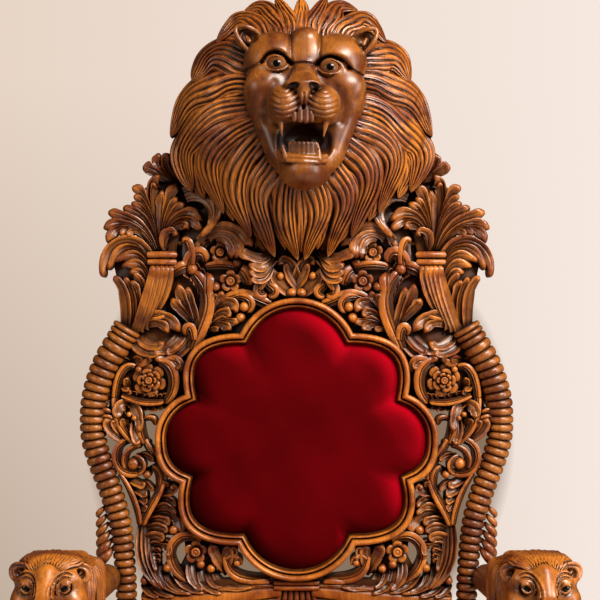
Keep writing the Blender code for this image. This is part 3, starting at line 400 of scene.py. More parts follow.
# The horn's middle line from its tip down, as (out, up) in mm, and the leg's below it, in metres
HORN = [(322, 212), (337, 187), (360, 149), (376, 111), (386, 73), (389, 35), (387, -3),
        (377, -41), (363, -79), (350, -117), (339, -155), (333, -193), (329, -231), (326, -269),
        (325, -307), (325, -345), (325, -380)]
HORN_Y = 0.215
HORN_TOP_RADIUS, HORN_FOOT_RADIUS = 0.0285, 0.0205
RIB_COUNT = 40
RIB_DEPTH = 0.0058
RIB_STEPS = 8
LEG_RADIUS = 0.0238
LEG_STEPS = 60
LEG_BEAD_Z, LEG_BEAD_LENGTH, LEG_BEAD_RISE = 0.600, 0.006, 0.003
REAR_LEG = [(0.325, 0.215, 0.640), (0.322, 0.215, 0.560), (0.320, 0.216, 0.480), (0.322, 0.222, 0.400),
            (0.326, 0.262, 0.250), (0.331, 0.322, 0.100), (0.334, 0.368, 0.000)]


def ring_frames(path):
    """For a path of world points: two unit vectors across it at each point."""
    along = unit(np.gradient(path, axis=0), 0)
    side = unit(np.cross(along, [0.0, 1.0, 0.0]), 0)
    return side, np.cross(side, along)


def round_sweep(path, radii, around=28, squash=1.0):
    """Rings of a round tube about a path, of one radius or one each; squash flattens it in depth."""
    side, deep = ring_frames(path)
    angle = circle(around)
    radii = np.broadcast_to(radii, len(path))[:, None, None]
    return (path[:, None, :] + radii * np.cos(angle)[None, :, None] * side[:, None, :]
            + radii * squash * np.sin(angle)[None, :, None] * deep[:, None, :])


def make_stile(side, mirror):
    """A horn of rounded ribs, cut back between them, and the raked leg below it."""
    shells = Shells()
    steps = RIB_COUNT * RIB_STEPS + 1
    path = spot(smooth_line(HORN, steps), HORN_Y)
    fraction = np.linspace(0, 1, steps)
    rib = (fraction * RIB_COUNT) % 1.0
    swell = np.sqrt(np.clip(1 - (2 * rib - 1) ** 2, 0, 1))
    radius = HORN_TOP_RADIUS + (HORN_FOOT_RADIUS - HORN_TOP_RADIUS) * np.minimum(1, fraction * 1.25)
    radii = radius - RIB_DEPTH * (1 - swell)
    radii[0] *= 0.8
    # Painted shade in the gaps between the ribs
    shells.add(round_sweep(path, radii), (0.02 + 0.72 * swell ** 1.3)[:, None])
    leg = smooth_line([(-x, y, z) for x, y, z in REAR_LEG], LEG_STEPS)
    down = np.linspace(0, 1, LEG_STEPS)
    taper = LEG_RADIUS * (1 - 0.10 * np.sin(np.pi * down))
    bead = np.exp(-((leg[:, 2] - LEG_BEAD_Z) / LEG_BEAD_LENGTH) ** 2) * LEG_BEAD_RISE
    rings = round_sweep(leg, taper + bead, around=32)
    rings[..., 2] = np.maximum(rings[..., 2], 0.0)
    shells.add(rings, 0.9)
    carve(shells, "horn_" + side, "stile_" + side, mirror)


# The medallion's lobes from its middle, in metres: centres and radii, cusps, and how much fuller
# the lower half is
TOP_CENTRE, TOP_RADIUS = 0.1478, 0.1191
SIDE_CENTRE, SIDE_RADIUS = 0.1791, 0.0898
CUSP_HIGH, CUSP_LOW = (0.1074, 0.1995), (0.2119, 0.0836)
DIAGONAL_LOBE = [CUSP_HIGH, (0.1874, 0.1995), (0.2278, 0.1625), CUSP_LOW]
LOBE_STEPS = 36
MOULD_WIDTH = 0.0200
PAD_STEPS = 26
PAD_SIDE_Y, PAD_EDGE_Y = 0.2120, 0.2165
LOWER_SPREAD, LOWER_DROP = 0.045, 0.015


def top_lobe(t):
    """Half the top lobe, from its crown to the higher cusp."""
    end = math.atan2(CUSP_HIGH[0], CUSP_HIGH[1] - TOP_CENTRE)
    return np.array([math.sin(end * t) * TOP_RADIUS, TOP_CENTRE + math.cos(end * t) * TOP_RADIUS])


def side_lobe(t):
    """Half the side lobe, from the lower cusp to its outermost point."""
    start = math.atan2(CUSP_LOW[1], CUSP_LOW[0] - SIDE_CENTRE)
    angle = start * (1.0 - t)
    return np.array([SIDE_CENTRE + math.cos(angle) * SIDE_RADIUS, math.sin(angle) * SIDE_RADIUS])


def diagonal_lobe(t):
    """The lobe between the two cusps."""
    return bezier(DIAGONAL_LOBE, [t])[0]


def outward(curve, t):
    """The unit vector out of the medallion at a point of its outline."""
    step = 0.001
    along = curve(min(t + step, 1.0)) - curve(max(t - step, 0.0))
    return np.array([-along[1], along[0]]) / np.linalg.norm(along)


def medallion_outline(inset):
    """The eight-lobed outline moved in by inset, mitred at its cusps, as an array of (x, z).

    The lower lobes are a little fuller than the upper ones.
    """
    curves = [(top_lobe, LOBE_STEPS // 2), (diagonal_lobe, LOBE_STEPS), (side_lobe, LOBE_STEPS // 2)]
    quarter = []
    for index, (curve, count) in enumerate(curves):
        for step in range(count + (index == 2)):
            t = step / count
            normal = outward(curve, t)
            if step == 0 and index > 0:
                before = outward(curves[index - 1][0], 1.0)
                normal = (normal + before) / (1.0 + normal.dot(before))
            quarter.append(curve(t) - normal * inset)
    quarter = np.array(quarter)
    low = np.clip(quarter[-2::-1, 1:] / 0.085, 0, 1)
    fuller = 1 + low * low * (3 - 2 * low) * [LOWER_SPREAD, LOWER_DROP]
    half = np.vstack([quarter, quarter[-2::-1] * fuller * [1, -1]])
    return np.vstack([half, half[-2:0:-1] * [-1, 1]])


def lobed_ring(inset, y):
    """The outline moved in by inset, at the depth y."""
    outline = medallion_outline(inset)
    return join(outline[:, 0], y, outline[:, 1] + MEDALLION_Z)


def bead_profile(inset, y, half, rise, steps, tone):
    """A half round of the moulding's profile, across its width."""
    angles = [math.pi * step / steps for step in range(steps + 1)]
    return [(inset - half * math.cos(angle), y - rise * math.sin(angle), tone) for angle in angles]


def make_medallion_frame():
    """A polished moulding: rounded outer bead, fillet, cove and a narrow inner bead."""
    # The third value of each step is its tone: painted shade in the groove, the cove and on the back,
    # painted highlight on the beads
    profile = [(0.0, BACK_Y, 0.1), (0.0, 0.206, 0.2), (-0.0002, 0.197, 0.9)]
    profile += bead_profile(0.0052, 0.1945, 0.0052, 0.0072, 8, 1.0)
    profile += [(0.0106, 0.2015, 0.05), (0.0118, 0.2025, 0.0)]
    profile += bead_profile(0.0146, 0.2005, 0.0026, 0.0046, 6, 0.95)
    profile += [(0.0177, 0.2035, 0.1), (MOULD_WIDTH, 0.2060, 0.5), (MOULD_WIDTH, BACK_Y, 0.0)]
    shells = Shells()
    points = np.array([lobed_ring(inset, y) for inset, y, _ in profile])
    tones = np.array([tone for _, _, tone in profile])
    count, around = points.shape[:2]
    index = np.arange(count * around).reshape(count, around)
    following = np.roll(index, -1, axis=1)
    beneath = np.roll(index, -1, axis=0)
    across_beneath = np.roll(following, -1, axis=0)
    faces = np.stack([index, following, across_beneath, beneath], axis=-1).reshape(-1, 4)
    shells.add_mesh(points.reshape(-1, 3), faces, np.repeat(tones, around))
    carve(shells, "medallion_moulding", "medallion_frame", sharp=60)


def make_medallion_pad():
    """Velvet drawn tight round its edge over a soft crown, a little uneven as stuffing is."""
    overlap = 0.0006
    edge = medallion_outline(MOULD_WIDTH - overlap)
    reach = np.linalg.norm(edge, axis=1)
    rings = [join(edge[:, 0], y, edge[:, 1] + MEDALLION_Z) for y in (BACK_Y, PAD_SIDE_Y)]
    for step in range(PAD_STEPS):
        scale = math.cos(math.pi / 2 * (step + 1) / (PAD_STEPS + 0.6))
        inward = (1 - scale) * reach
        rise = 0.030 * (1 - np.exp(-inward / 0.020)) + 0.004 * (1 - np.exp(-inward / 0.09))
        x, z = edge[:, 0] * scale, edge[:, 1] * scale
        lumps = 0.0012 * np.sin(31 * x + 1.3) * np.cos(27 * z - 0.4) + 0.0008 * np.sin(63 * x + 44 * z)
        y = PAD_EDGE_Y - rise + lumps * np.clip(inward / 0.05, 0, 1)
        rings.append(join(x, y, z + MEDALLION_Z))
    shells = Shells()
    shells.add(np.array(rings), 1.0)
    item = shells.build("medallion_velvet", sharp=75)
    dress(item, VELVET, "medallion_pad")


for side, mirror in SIDES:
    make_stile(side, mirror)
make_medallion_frame()
make_medallion_pad()


# ---------------------------------------------------------------- carved back

# Leaf fingers and stems: (Bezier control points, width at the root, width at the tip), in mm.
# Neighbours in one fan are joined by a low web; base and middle leaves stand alone.
PLUME_FAN = [
    ([(246, 360), (254, 385), (242, 398), (227, 387)], 19, 15),
    ([(250, 362), (244, 404), (218, 421), (206, 398)], 11, 11),
    ([(254, 362), (248, 411), (210, 440), (178, 392)], 13, 13),
    ([(256, 362), (256, 411), (218, 449), (178, 413)], 13, 11),
    ([(257, 364), (254, 411), (240, 436), (212, 447)], 11, 13),
    ([(259, 364), (256, 411), (246, 440), (227, 459)], 10, 11),
    ([(261, 364), (257, 425), (248, 457), (227, 484)], 11, 15),
    ([(263, 364), (259, 411), (257, 444), (256, 472)], 10, 8),
    ([(263, 377), (278, 449), (282, 480), (267, 484)], 10, 15),
    ([(263, 371), (278, 444), (292, 491), (259, 499)], 11, 10),
    ([(263, 368), (271, 434), (286, 470), (314, 478)], 13, 13),
    ([(265, 368), (273, 425), (286, 455), (311, 461)], 11, 11),
    ([(265, 364), (269, 411), (284, 442), (316, 447)], 11, 11),
    ([(265, 360), (275, 408), (297, 436), (332, 438)], 15, 17),
    ([(269, 360), (282, 404), (320, 425), (360, 430)], 15, 17),
    ([(273, 360), (286, 402), (332, 423), (368, 398)], 13, 13),
    ([(276, 360), (292, 404), (351, 423), (360, 371)], 11, 13),
    ([(280, 366), (295, 408), (328, 415), (335, 383)], 10, 10),
    ([(282, 366), (294, 400), (313, 406), (322, 381)], 8, 10),
]
PLUME_TOP = [
    ([(225, 489), (252, 506), (263, 533), (238, 539)], 8, 13),
    ([(225, 489), (254, 497), (267, 518), (263, 544)], 11, 13),
    ([(237, 491), (259, 503), (278, 514), (294, 516)], 13, 17),
]
TRUNK = [
    ([(275, 232), (252, 267), (240, 294), (239, 330)], 10, 11),
    ([(282, 218), (259, 263), (248, 292), (247, 330)], 13, 11),
    ([(290, 208), (267, 259), (256, 292), (255, 330)], 13, 11),
    ([(299, 203), (275, 259), (265, 292), (263, 330)], 15, 11),
    ([(309, 200), (284, 259), (275, 292), (272, 330)], 15, 11),
]
TRUNK_CURLS = [
    ([(292, 235), (276, 285), (286, 328), (320, 314)], 10, 11),
    ([(292, 240), (268, 294), (282, 352), (334, 326)], 12, 12),
    ([(292, 248), (260, 308), (284, 378), (348, 336)], 12, 12),
    ([(291, 255), (256, 324), (286, 386), (336, 382), (360, 320)], 13, 13),
    ([(290, 262), (256, 343), (290, 400), (350, 398), (378, 350), (368, 306)], 17, 12),
]
TRUNK_STEMS = [
    ([(296, 228), (284, 262), (288, 300), (312, 316)], 12, 10),
    ([(306, 206), (296, 250), (302, 286), (316, 300)], 12, 10),
    ([(317, 202), (303, 254), (312, 294), (330, 305)], 16, 11),
    ([(329, 200), (318, 254), (330, 300), (350, 306)], 17, 11),
]
SHOULDER_LEAF = [
    ([(309, 200), (282, 229), (256, 225), (244, 200)], 11, 11),
    ([(316, 197), (288, 240), (244, 244), (221, 202)], 15, 17),
]
SHOULDER_SHELL = [
    ([(202, 206), (218, 176), (233, 161), (252, 164)], 13, 11),
    ([(199, 197), (214, 164), (240, 145), (273, 153)], 15, 11),
    ([(219, 204), (229, 181), (248, 168), (275, 161)], 13, 10),
]
SHOULDER_CUP = [
    ([(316, 195), (311, 168), (282, 155), (259, 161)], 13, 10),
    ([(307, 200), (294, 178), (269, 168), (252, 183)], 15, 11),
]
STEM_FAN = [
    ([(176, 200), (166, 212), (157, 212), (149, 202)], 8, 8),
    ([(174, 202), (157, 225), (134, 225), (126, 202)], 8, 8),
    ([(172, 206), (153, 229), (130, 229), (109, 219)], 10, 11),
    ([(172, 210), (157, 240), (134, 248), (126, 229)], 15, 10),
    ([(172, 214), (157, 259), (115, 278), (115, 237)], 11, 15),
    ([(172, 218), (161, 248), (149, 265), (140, 280)], 10, 10),
    ([(172, 221), (164, 248), (159, 263), (151, 276)], 8, 8),
    ([(172, 221), (168, 248), (166, 263), (168, 278)], 8, 8),
]
STEM_LEAF = [
    ([(189, 187), (191, 229), (202, 263), (208, 288)], 10, 11),
    ([(191, 197), (202, 240), (219, 267), (225, 294)], 10, 10),
    ([(193, 206), (206, 246), (229, 244), (237, 267)], 11, 15),
]
PALMETTE = [
    ([(-12, 276), (12, 301), (22, 316), (20, 335)], 11, 8),
    ([(-12, 270), (2, 332), (24, 358), (35, 328)], 11, 11),
    ([(-12, 268), (28, 278), (50, 301), (43, 324)], 13, 11),
]
SWAG = [
    ([(46, 356), (56, 330), (84, 338), (112, 362)], 13, 15),
    ([(45, 347), (50, 316), (73, 316), (90, 333)], 11, 10),
    ([(45, 339), (50, 305), (73, 307), (90, 320)], 11, 10),
    ([(48, 324), (56, 297), (73, 295), (88, 305)], 10, 8),
]
ARCHES = [
    ([(153, 377), (136, 387), (119, 366), (124, 342)], 9, 10),
    ([(168, 381), (134, 402), (106, 377), (115, 342)], 12, 13),
    ([(185, 375), (155, 410), (112, 408), (84, 364)], 13, 17),
]
SCROLL_TOP = [
    ([(210, 455), (178, 470), (142, 436), (168, 398)], 12, 10),
    ([(214, 468), (164, 495), (115, 446), (181, 383)], 15, 13),
]
BUD = [
    ([(137, 402), (142, 418), (145, 430)], 7, 9),
    ([(134, 401), (134, 420), (133, 435)], 7, 10),
    ([(131, 402), (125, 418), (121, 430)], 7, 9),
]
LOWER_LEAF = [
    ([(272, -127), (258, -112), (236, -112), (229, -136)], 8, 11),
    ([(278, -143), (262, -128), (240, -126), (226, -147)], 8, 11),
    ([(284, -150), (256, -136), (212, -138), (220, -186)], 8, 13),
    ([(288, -164), (272, -152), (252, -152), (242, -168)], 9, 10),
    ([(290, -178), (272, -167), (254, -169), (245, -181)], 12, 12),
    ([(290, -200), (276, -187), (259, -185), (255, -199)], 9, 9),
    ([(284, -214), (266, -200), (246, -198), (242, -216)], 8, 10),
    ([(282, -228), (270, -215), (257, -212)], 6, 7),
    ([(280, -236), (269, -224), (257, -223)], 6, 7),
    ([(279, -244), (268, -233), (258, -233)], 6, 7),
]
BASE_LEAVES = [
    ([(294, -280), (288, -292), (276, -300), (260, -302)], 8, 5),
    ([(278, -280), (266, -292), (252, -298), (232, -301)], 9, 5),
    ([(262, -246), (268, -276), (242, -291), (198, -296)], 11, 5),
    ([(248, -261), (248, -278), (232, -288), (212, -293)], 8, 5),
    ([(232, -252), (226, -276), (206, -290), (174, -295)], 12, 5),
    ([(202, -242), (205, -264), (194, -281), (176, -289)], 15, 6),
    ([(184, -256), (182, -278), (166, -292), (141, -296)], 12, 5),
    ([(170, -258), (168, -272), (160, -280), (147, -285)], 8, 5),
    ([(156, -260), (150, -282), (126, -292), (83, -283)], 11, 5),
    ([(297, -165), (302, -210), (302, -250), (262, -285)], 11, 6),
    ([(291, -170), (293, -215), (289, -250), (255, -289)], 10, 6),
    ([(285, -190), (284, -225), (277, -255), (251, -287)], 9, 5),
    ([(276, -208), (272, -232), (267, -254)], 8, 5),
    ([(257, -201), (242, -198), (240, -212), (246, -226)], 10, 8),
    ([(132, -262), (142, -240), (160, -222), (161, -199)], 10, 17),
    ([(136, -254), (134, -235), (128, -220), (132, -201)], 12, 17),
    ([(126, -252), (122, -232), (116, -216), (121, -203)], 8, 12),
]
SIDE_LEAF = [
    ([(327, -77), (312, -82), (300, -92), (286, -86)], 9, 9),
    ([(317, -91), (306, -99), (295, -106), (283, -110)], 9, 8),
    ([(309, -108), (300, -115), (292, -120), (282, -120)], 8, 8),
    ([(304, -121), (296, -130), (287, -141)], 7, 7),
]
MIDDLE_LEAVES = [
    ([(322, -5), (346, 4), (358, 18), (364, 40)], 14, 14),
    ([(328, 2), (340, 16), (348, 24), (350, 36)], 8, 8),
    ([(320, 63), (332, 70), (344, 54), (341, 36)], 12, 16),
    ([(322, 18), (330, 28), (332, 38)], 10, 9),
    ([(307, 42), (311, 20), (309, 0), (300, -14)], 9, 12),
    ([(318, 68), (306, 60), (296, 40), (299, 10)], 14, 11),
    ([(256, 149), (240, 150), (224, 146), (225, 128)], 9, 13),
    ([(312, 147), (304, 152), (292, 147)], 9, 10),
    ([(292, 149), (284, 152), (277, 146)], 8, 9),
    ([(294, -84), (283, -89), (271, -101)], 7, 7),
    ([(264, -106), (248, -106), (228, -104), (232, -84)], 8, 12),
    ([(258, -98), (252, -90), (242, -84)], 8, 9),
    ([(300, -34), (290, -32), (279, -36), (270, -44)], 8, 9),
    ([(320, 96), (326, 104), (322, 116)], 8, 8),
    ([(332, 84), (324, 90), (314, 84)], 8, 8),
    ([(334, 100), (326, 92), (318, 94)], 7, 7),
]
FANS = [PLUME_FAN, PLUME_TOP, TRUNK, TRUNK_CURLS, TRUNK_STEMS, BUD, SHOULDER_LEAF, SHOULDER_SHELL,
        SHOULDER_CUP, STEM_FAN, STEM_LEAF, PALMETTE, SWAG, ARCHES, SCROLL_TOP, LOWER_LEAF, SIDE_LEAF]
SOFT_FANS = (SCROLL_TOP, ARCHES, SWAG)

# Stems: as the fingers, and for some the sides of the path that carry a fringe of small leaves.
RIGHT_SIDE, LEFT_SIDE, BOTH_SIDES = (-1,), (1,), (-1, 1)

STEMS = [
    ([(278, 231), (263, 231), (248, 240)], 9, 8),
    ([(240, 312), (224, 326), (206, 328)], 11, 12),
    ([(248, 145), (233, 153), (219, 142), (225, 124)], 11, 13),
    ([(278, 159), (294, 149), (311, 142)], 13, 13),
    ([(199, 168), (183, 221), (142, 263), (199, 318)], 15, 13, BOTH_SIDES),
    ([(197, 187), (197, 214), (210, 218), (210, 195)], 10, 11),
    ([(50, 254), (81, 263), (107, 294), (149, 252)], 11, 10),
    ([(115, 269), (92, 275), (77, 252), (96, 240)], 9, 9),
    ([(202, 332), (199, 362), (208, 385), (216, 371)], 10, 9),
    ([(197, 335), (191, 366), (168, 389), (147, 379)], 11, 10),
    ([(208, 330), (202, 358), (172, 360), (176, 334)], 14, 12),
    ([(172, 269), (172, 292), (172, 316)], 11, 17),
    ([(83, 362), (79, 377), (79, 392)], 11, 11),
    ([(73, 396), (69, 370), (48, 351)], 11, 10),
    ([(66, 385), (47, 343), (54, 311), (77, 282)], 12, 11),
    ([(66, 301), (81, 282), (69, 263), (58, 278)], 10, 9),
    ([(54, 301), (58, 282), (31, 294), (39, 265), (54, 273)], 9, 9),
    ([(107, 320), (92, 313), (90, 290)], 15, 13),
    ([(111, 324), (138, 335), (176, 326)], 9, 8),
    ([(66, 385), (85, 400), (66, 411)], 10, 10),
    ([(262, 146), (230, 144), (222, 92), (252, 66)], 11, 10),
    ([(309, 135), (330, 146), (345, 112), (346, 70)], 7, 8, LEFT_SIDE),
    ([(346, 76), (345, 40), (336, 8), (296, -16)], 8, 7, RIGHT_SIDE),
    ([(332, 82), (306, 70), (282, 64), (252, 70)], 6, 6, BOTH_SIDES),
    ([(304, 46), (296, 24), (300, 6), (286, -12)], 9, 8),
    ([(290, -4), (276, -36), (244, -50), (255, -86)], 8, 8),
    ([(255, -80), (262, -112), (286, -136), (294, -168)], 8, 8),
    ([(291, 35), (278, 43), (265, 35), (273, 24)], 6, 6),
    ([(374, 51), (362, 55), (351, 44)], 6, 6),
    ([(372, 38), (360, 43), (349, 33)], 6, 6),
    ([(318, -4), (358, -12), (354, -70), (316, -75), (297, -64)], 9, 8),
    ([(297, -15), (319, -17), (336, -36), (324, -60)], 6, 6),
    ([(308, -35), (288, -39), (287, -64), (303, -67)], 6, 5),
    ([(276, -56), (256, -64), (262, -86), (264, -100)], 8, 7),
    ([(338, -68), (319, -92), (310, -114), (300, -142), (299, -168)], 5, 7),
    ([(184, -197), (206, -174), (246, -190), (239, -234)], 9, 11),
    ([(240, -226), (238, -250), (220, -264), (199, -277)], 11, 5),
    ([(132, -232), (124, -220), (102, -225), (107, -243)], 5, 5),
    ([(122, -229), (112, -226), (106, -232)], 4, 4),
    ([(134, -226), (132, -258), (112, -274), (50, -269)], 9, 10),
    ([(92, -280), (70, -279), (47, -278)], 10, 11),
    ([(30, -284), (126, -290), (202, -299), (297, -303)], 22, 22),
    ([(30, -312), (126, -316), (202, -318), (300, -320)], 24, 24),
]
# Short hidden bars that tie neighbouring leaves together behind their fronts
TIES = [
    [(262, 322), (262, 366)], [(199, 318), (232, 322)], [(216, 371), (240, 374)],
    [(164, 400), (150, 352)], [(145, 330), (128, 318)], [(90, 345), (118, 350)], [(168, 316), (145, 300)],
    [(107, 229), (102, 250)], [(232, 276), (262, 262)], [(40, 300), (22, 288)],
    [(54, 262), (52, 290)], [(178, 400), (206, 420)], [(125, 290), (140, 278)],
    [(252, 66), (236, 60)], [(170, -206), (160, -190)], [(262, 20), (246, 20)],
    [(222, -160), (190, -150)], [(118, -205), (104, -190)],
]
# Outlines of the low ground behind the leaves
GROUNDS = [
    [(235, 340), (222, 400), (222, 446), (236, 486), (222, 500), (236, 530), (262, 528), (276, 500),
     (290, 462), (316, 430), (330, 404), (300, 380), (286, 340)],
    [(270, 250), (262, 352), (338, 352), (350, 326), (344, 298), (331, 280), (327, 236)],
    [(222, 330), (216, 400), (150, 470), (96, 470), (60, 420), (60, 300), (140, 240), (190, 210),
     (236, 240), (246, 290)],
    [(232, 218), (300, 218), (346, 150), (352, 70), (262, 58), (228, 84), (224, 150)],
    [(356, 72), (296, 68), (290, 20), (296, -18), (330, 0), (366, 16), (366, 44)],
    [(346, -40), (340, -70), (300, -74), (262, -60), (258, -40), (284, -14), (262, -46), (296, -64),
     (334, -60)],
    [(330, -74), (284, -86), (282, -120), (290, -142), (304, -150), (312, -112)],
    [(262, -84), (230, -86), (230, -106), (262, -108), (282, -142), (272, -130), (250, -108)],
    [(292, -160), (272, -124), (238, -116), (224, -142), (214, -168), (224, -186), (262, -184), (264, -200),
     (262, -256), (230, -282), (100, -282), (60, -268), (40, -282), (40, -330), (292, -330), (290, -190)],
    [(216, -196), (170, -196), (160, -236), (152, -262), (130, -284), (238, -284), (226, -252),
     (212, -225)],
    [(165, -198), (150, -262), (126, -262), (112, -246), (116, -202)],
]
# Beads and flowers: (out, up, radius)
BEADS = [(199, 322, 12), (100, 250, 11), (168, 446, 10), (85, 345, 11), (31, 309, 9),
         (113, 335, 11), (155, 288, 11), (9, 276, 11), (107, 229, 11), (301, 131, 7), (319, 45, 6),
         (309, 38, 6), (285, -70, 9), (311, -49, 14), (236, -94, 7), (234, -176, 11), (113, -238, 8),
         (290, -272, 9), (247, -248, 9), (183, -241, 9), (163, -249, 9)]
ROSES = [(145, 354, 20), (126, 299, 21), (192, -217, 22)]
DOUBLE_ROSE = (281, 110, 33)

# Depths of the carving's layers, front to back
BLADE_Y, BLADE_LIFT = 0.2275, 0.0265
STEM_Y, STEM_LIFT = 0.2080, 0.0045
WEB_Y = 0.2190
GROUND_Y = 0.2260
TIE_Y, TIE_RADIUS = 0.2350, 0.0048
BEAD_Y = 0.2010
BLADE_LANES, STEM_LANES = 17, 19
FLOWER_Y, PETAL_HEIGHT = 0.2035, 0.008


def nearest_gap(path, other):
    """From each point of a plan path to another path: the distance, and the vector there."""
    away = other[None, :, :] - path[:, None, :]
    far = np.linalg.norm(away, axis=2)
    index = far.argmin(axis=1)
    rows = np.arange(len(path))
    return far[rows, index], away[rows, index]


def finger_steps(points, tip):
    """Values of t along a finger, closer together at its rounded end, and how round it is there."""
    length = np.linalg.norm(np.diff(bezier(points, np.linspace(0, 1, 40)), axis=0), axis=1).sum()
    body = int(np.clip(length / 3.6, 9, 34))
    start = 1 - min(0.45, 0.85 * tip / length)
    end = start + (0.9996 - start) * np.sin(np.linspace(0, np.pi / 2, 9))
    t = np.concatenate([np.linspace(0, start, body)[:-1], end])
    into_tip = np.clip((t - start) / (1 - start), 0, 1)
    return t, np.sqrt(np.clip(1 - into_tip ** 2, 0.0004, 1))


def add_bar(shells, path, half, front, tone):
    """A closed bar: half is the width on each side of the path, front the depths across it."""
    normal = across(path)
    lanes = front.shape[1]
    s = np.linspace(-1, 1, lanes)
    offset = np.where(s[None, :] < 0, s[None, :] * half[:, :1], s[None, :] * half[:, 1:])
    rings = spot(path[:, None, :] + normal[:, None, :] * offset[..., None], front)
    sides = []
    for share, depth in ((0.96, 0.30), (0.90, 1.0), (-0.90, 1.0), (-0.96, 0.30)):
        width = half[:, 1] if share > 0 else half[:, 0]
        edge = front[:, -1] if share > 0 else front[:, 0]
        plan = path + normal * (width * share)[:, None]
        sides.append(spot(plan, edge + (REAR_Y - edge) * depth)[:, None, :])
    # Painted shade down the bar's sides toward the back
    side_tone = np.tile([0.30, 0.0, 0.0, 0.30], (len(path), 1))
    shells.add(np.concatenate([rings] + sides, axis=1), np.concatenate([tone, side_tone], axis=1))


def outer_side(path, normal):
    """Which side of a path lies outside its bend: 1 along the normal, -1 against it."""
    bend = np.gradient(np.gradient(path, axis=0), axis=0)
    return -1.0 if (bend * normal).sum(axis=1)[2:-8].sum() > 0 else 1.0


def blade_half_widths(path, normal, t, own, fan, rank):
    """How far a finger reaches on each side of its path: its own width, or up to its neighbour."""
    half = np.stack([own, own], axis=1)
    fade = np.clip((t - 0.76) / 0.20, 0, 1)
    for other in (rank - 1, rank + 1):
        if 0 <= other < len(fan):
            gap, away = nearest_gap(path, bezier(fan[other][0], np.linspace(0, 1, 60)))
            side = int(np.sum((away * normal).sum(axis=1)[2:]) > 0)
            wide = np.clip(0.66 * gap, 1.2, own * 2.6)
            half[:, side] = wide * (1 - fade) + np.minimum(own, np.maximum(wide, own * 0.95)) * fade
    return half


def carved_blade(shells, fan, rank, rng, relief=1.0, forward=0.0):
    """One finger of a leaf: scooped hollow, a sharp arris outside its bend, a rounded turned-over tip."""
    points, root, tip = fan[rank]
    t, rounding = finger_steps(points, tip)
    path = bezier(points, t)
    normal = across(path)
    own = (root + (tip - root) * t) / 2 * (1.12 + 0.55 * np.sin(np.pi * np.clip(1.10 * t, 0, 1)))
    half = blade_half_widths(path, normal, t, own, fan, rank)
    lobes = np.abs(np.sin(np.pi * (0.3 + 2.7 * t))) ** 0.6
    half *= (rounding * (1 - relief * 0.20 * (1 - lobes) * np.clip((t - 0.3) / 0.2, 0, 1)))[:, None]
    width = half.sum(axis=1)
    lift = 0.26 + 0.74 * np.sin(np.pi * np.clip(0.05 + 0.60 * t, 0, 1))
    knob = np.exp(-((t - 0.90) / 0.10) ** 2)
    top = (BLADE_Y - forward - BLADE_LIFT * lift - 0.0022 * knob + 0.0030 * (rng.random() - 0.5)
           + 0.0120 * (1 - rounding ** 0.8))
    s = np.linspace(-1, 1, BLADE_LANES)
    q = (s * outer_side(path, normal) + 1) / 2
    scoop = (1 - q ** 1.7 - 0.22 * np.clip(1 - q / 0.16, 0, 1) ** 2
             + 0.20 * np.clip((q - 0.93) / 0.07, 0, 1) + 0.26 * np.exp(-((q - 0.60) / 0.07) ** 2))
    dome = s ** 2
    turned = np.clip((t - 0.74) / 0.20, 0, 1)[:, None]
    depth = relief * np.minimum(0.62 * width, 8.5)[:, None] * MM
    front = top[:, None] + depth * (scoop[None, :] * (1 - turned) + 0.55 * dome[None, :] * turned)
    # Painted shade toward the finger's root, where it dives beneath its neighbour, and in its scooped
    # hollow
    shade = np.clip(0.35 + 0.65 * t / 0.30, 0, 1)[:, None]
    hollow_tone = 1 - 0.75 * relief * np.clip(scoop, 0, 1)
    tone = hollow_tone[None, :] * (1 - turned) + (1 - 0.5 * dome)[None, :] * turned
    add_bar(shells, path, half, front, tone * shade)


def carved_stem(shells, points, root, tip, rank, rng):
    """A stem or a scroll: a rounded back, and a narrow groove and lip inside its bend."""
    t, rounding = finger_steps(points, tip)
    path = bezier(points, t)
    normal = across(path)
    own = (root + (tip - root) * t) / 2 * (1.55 + 0.50 * np.sin(np.pi * t))
    half = np.stack([own, own], axis=1) * rounding[:, None]
    width = half.sum(axis=1)
    top = (STEM_Y - STEM_LIFT * np.sin(np.pi * t) - 0.0022 * (rank % 3) + 0.0020 * (rng.random() - 0.5)
           + 0.0110 * (1 - rounding ** 0.8))
    s = np.linspace(-1, 1, STEM_LANES)
    q = (s * outer_side(path, normal) + 1) / 2
    back = ((q - 0.70) / 0.42) ** 2
    flutes = 0.45 * np.exp(-((q - 0.50) / 0.05) ** 2) + 0.9 * np.exp(-((q - 0.24) / 0.07) ** 2)
    slope = np.minimum(0.5 * back + flutes, 1.0)
    front = top[:, None] + slope[None, :] * (np.minimum(0.45 * width, 6.5) * MM)[:, None]
    # Painted shade in the flutes and down the rounded back
    tone = np.broadcast_to(1 - 0.85 * np.clip(slope, 0, 1) ** 1.3, front.shape)
    add_bar(shells, path, half, front, tone)


def fringe(shells, points, sides, rng):
    """Small lobed leaves springing from a stem, lying a little behind it."""
    spacing, length = 13.0, 17.0
    path = bezier(points, np.linspace(0, 1, 90))
    normal = across(path)
    reach = np.concatenate([[0], np.cumsum(np.linalg.norm(np.diff(path, axis=0), axis=1))])
    for side in sides:
        for at in np.arange(spacing * 0.7, reach[-1] - spacing * 0.4, spacing):
            index = int(np.searchsorted(reach, at))
            root, out = path[index], normal[index] * side
            along = np.array([normal[index][1], -normal[index][0]])
            grow = length * rng.uniform(0.85, 1.1)
            leaf = [root, root + 0.45 * grow * (out + 0.2 * along),
                    root + grow * (0.85 * out + 0.75 * along), root + grow * (0.70 * out + 1.15 * along)]
            carved_blade(shells, [(leaf, 7, 8)], 0, rng, forward=-0.009)


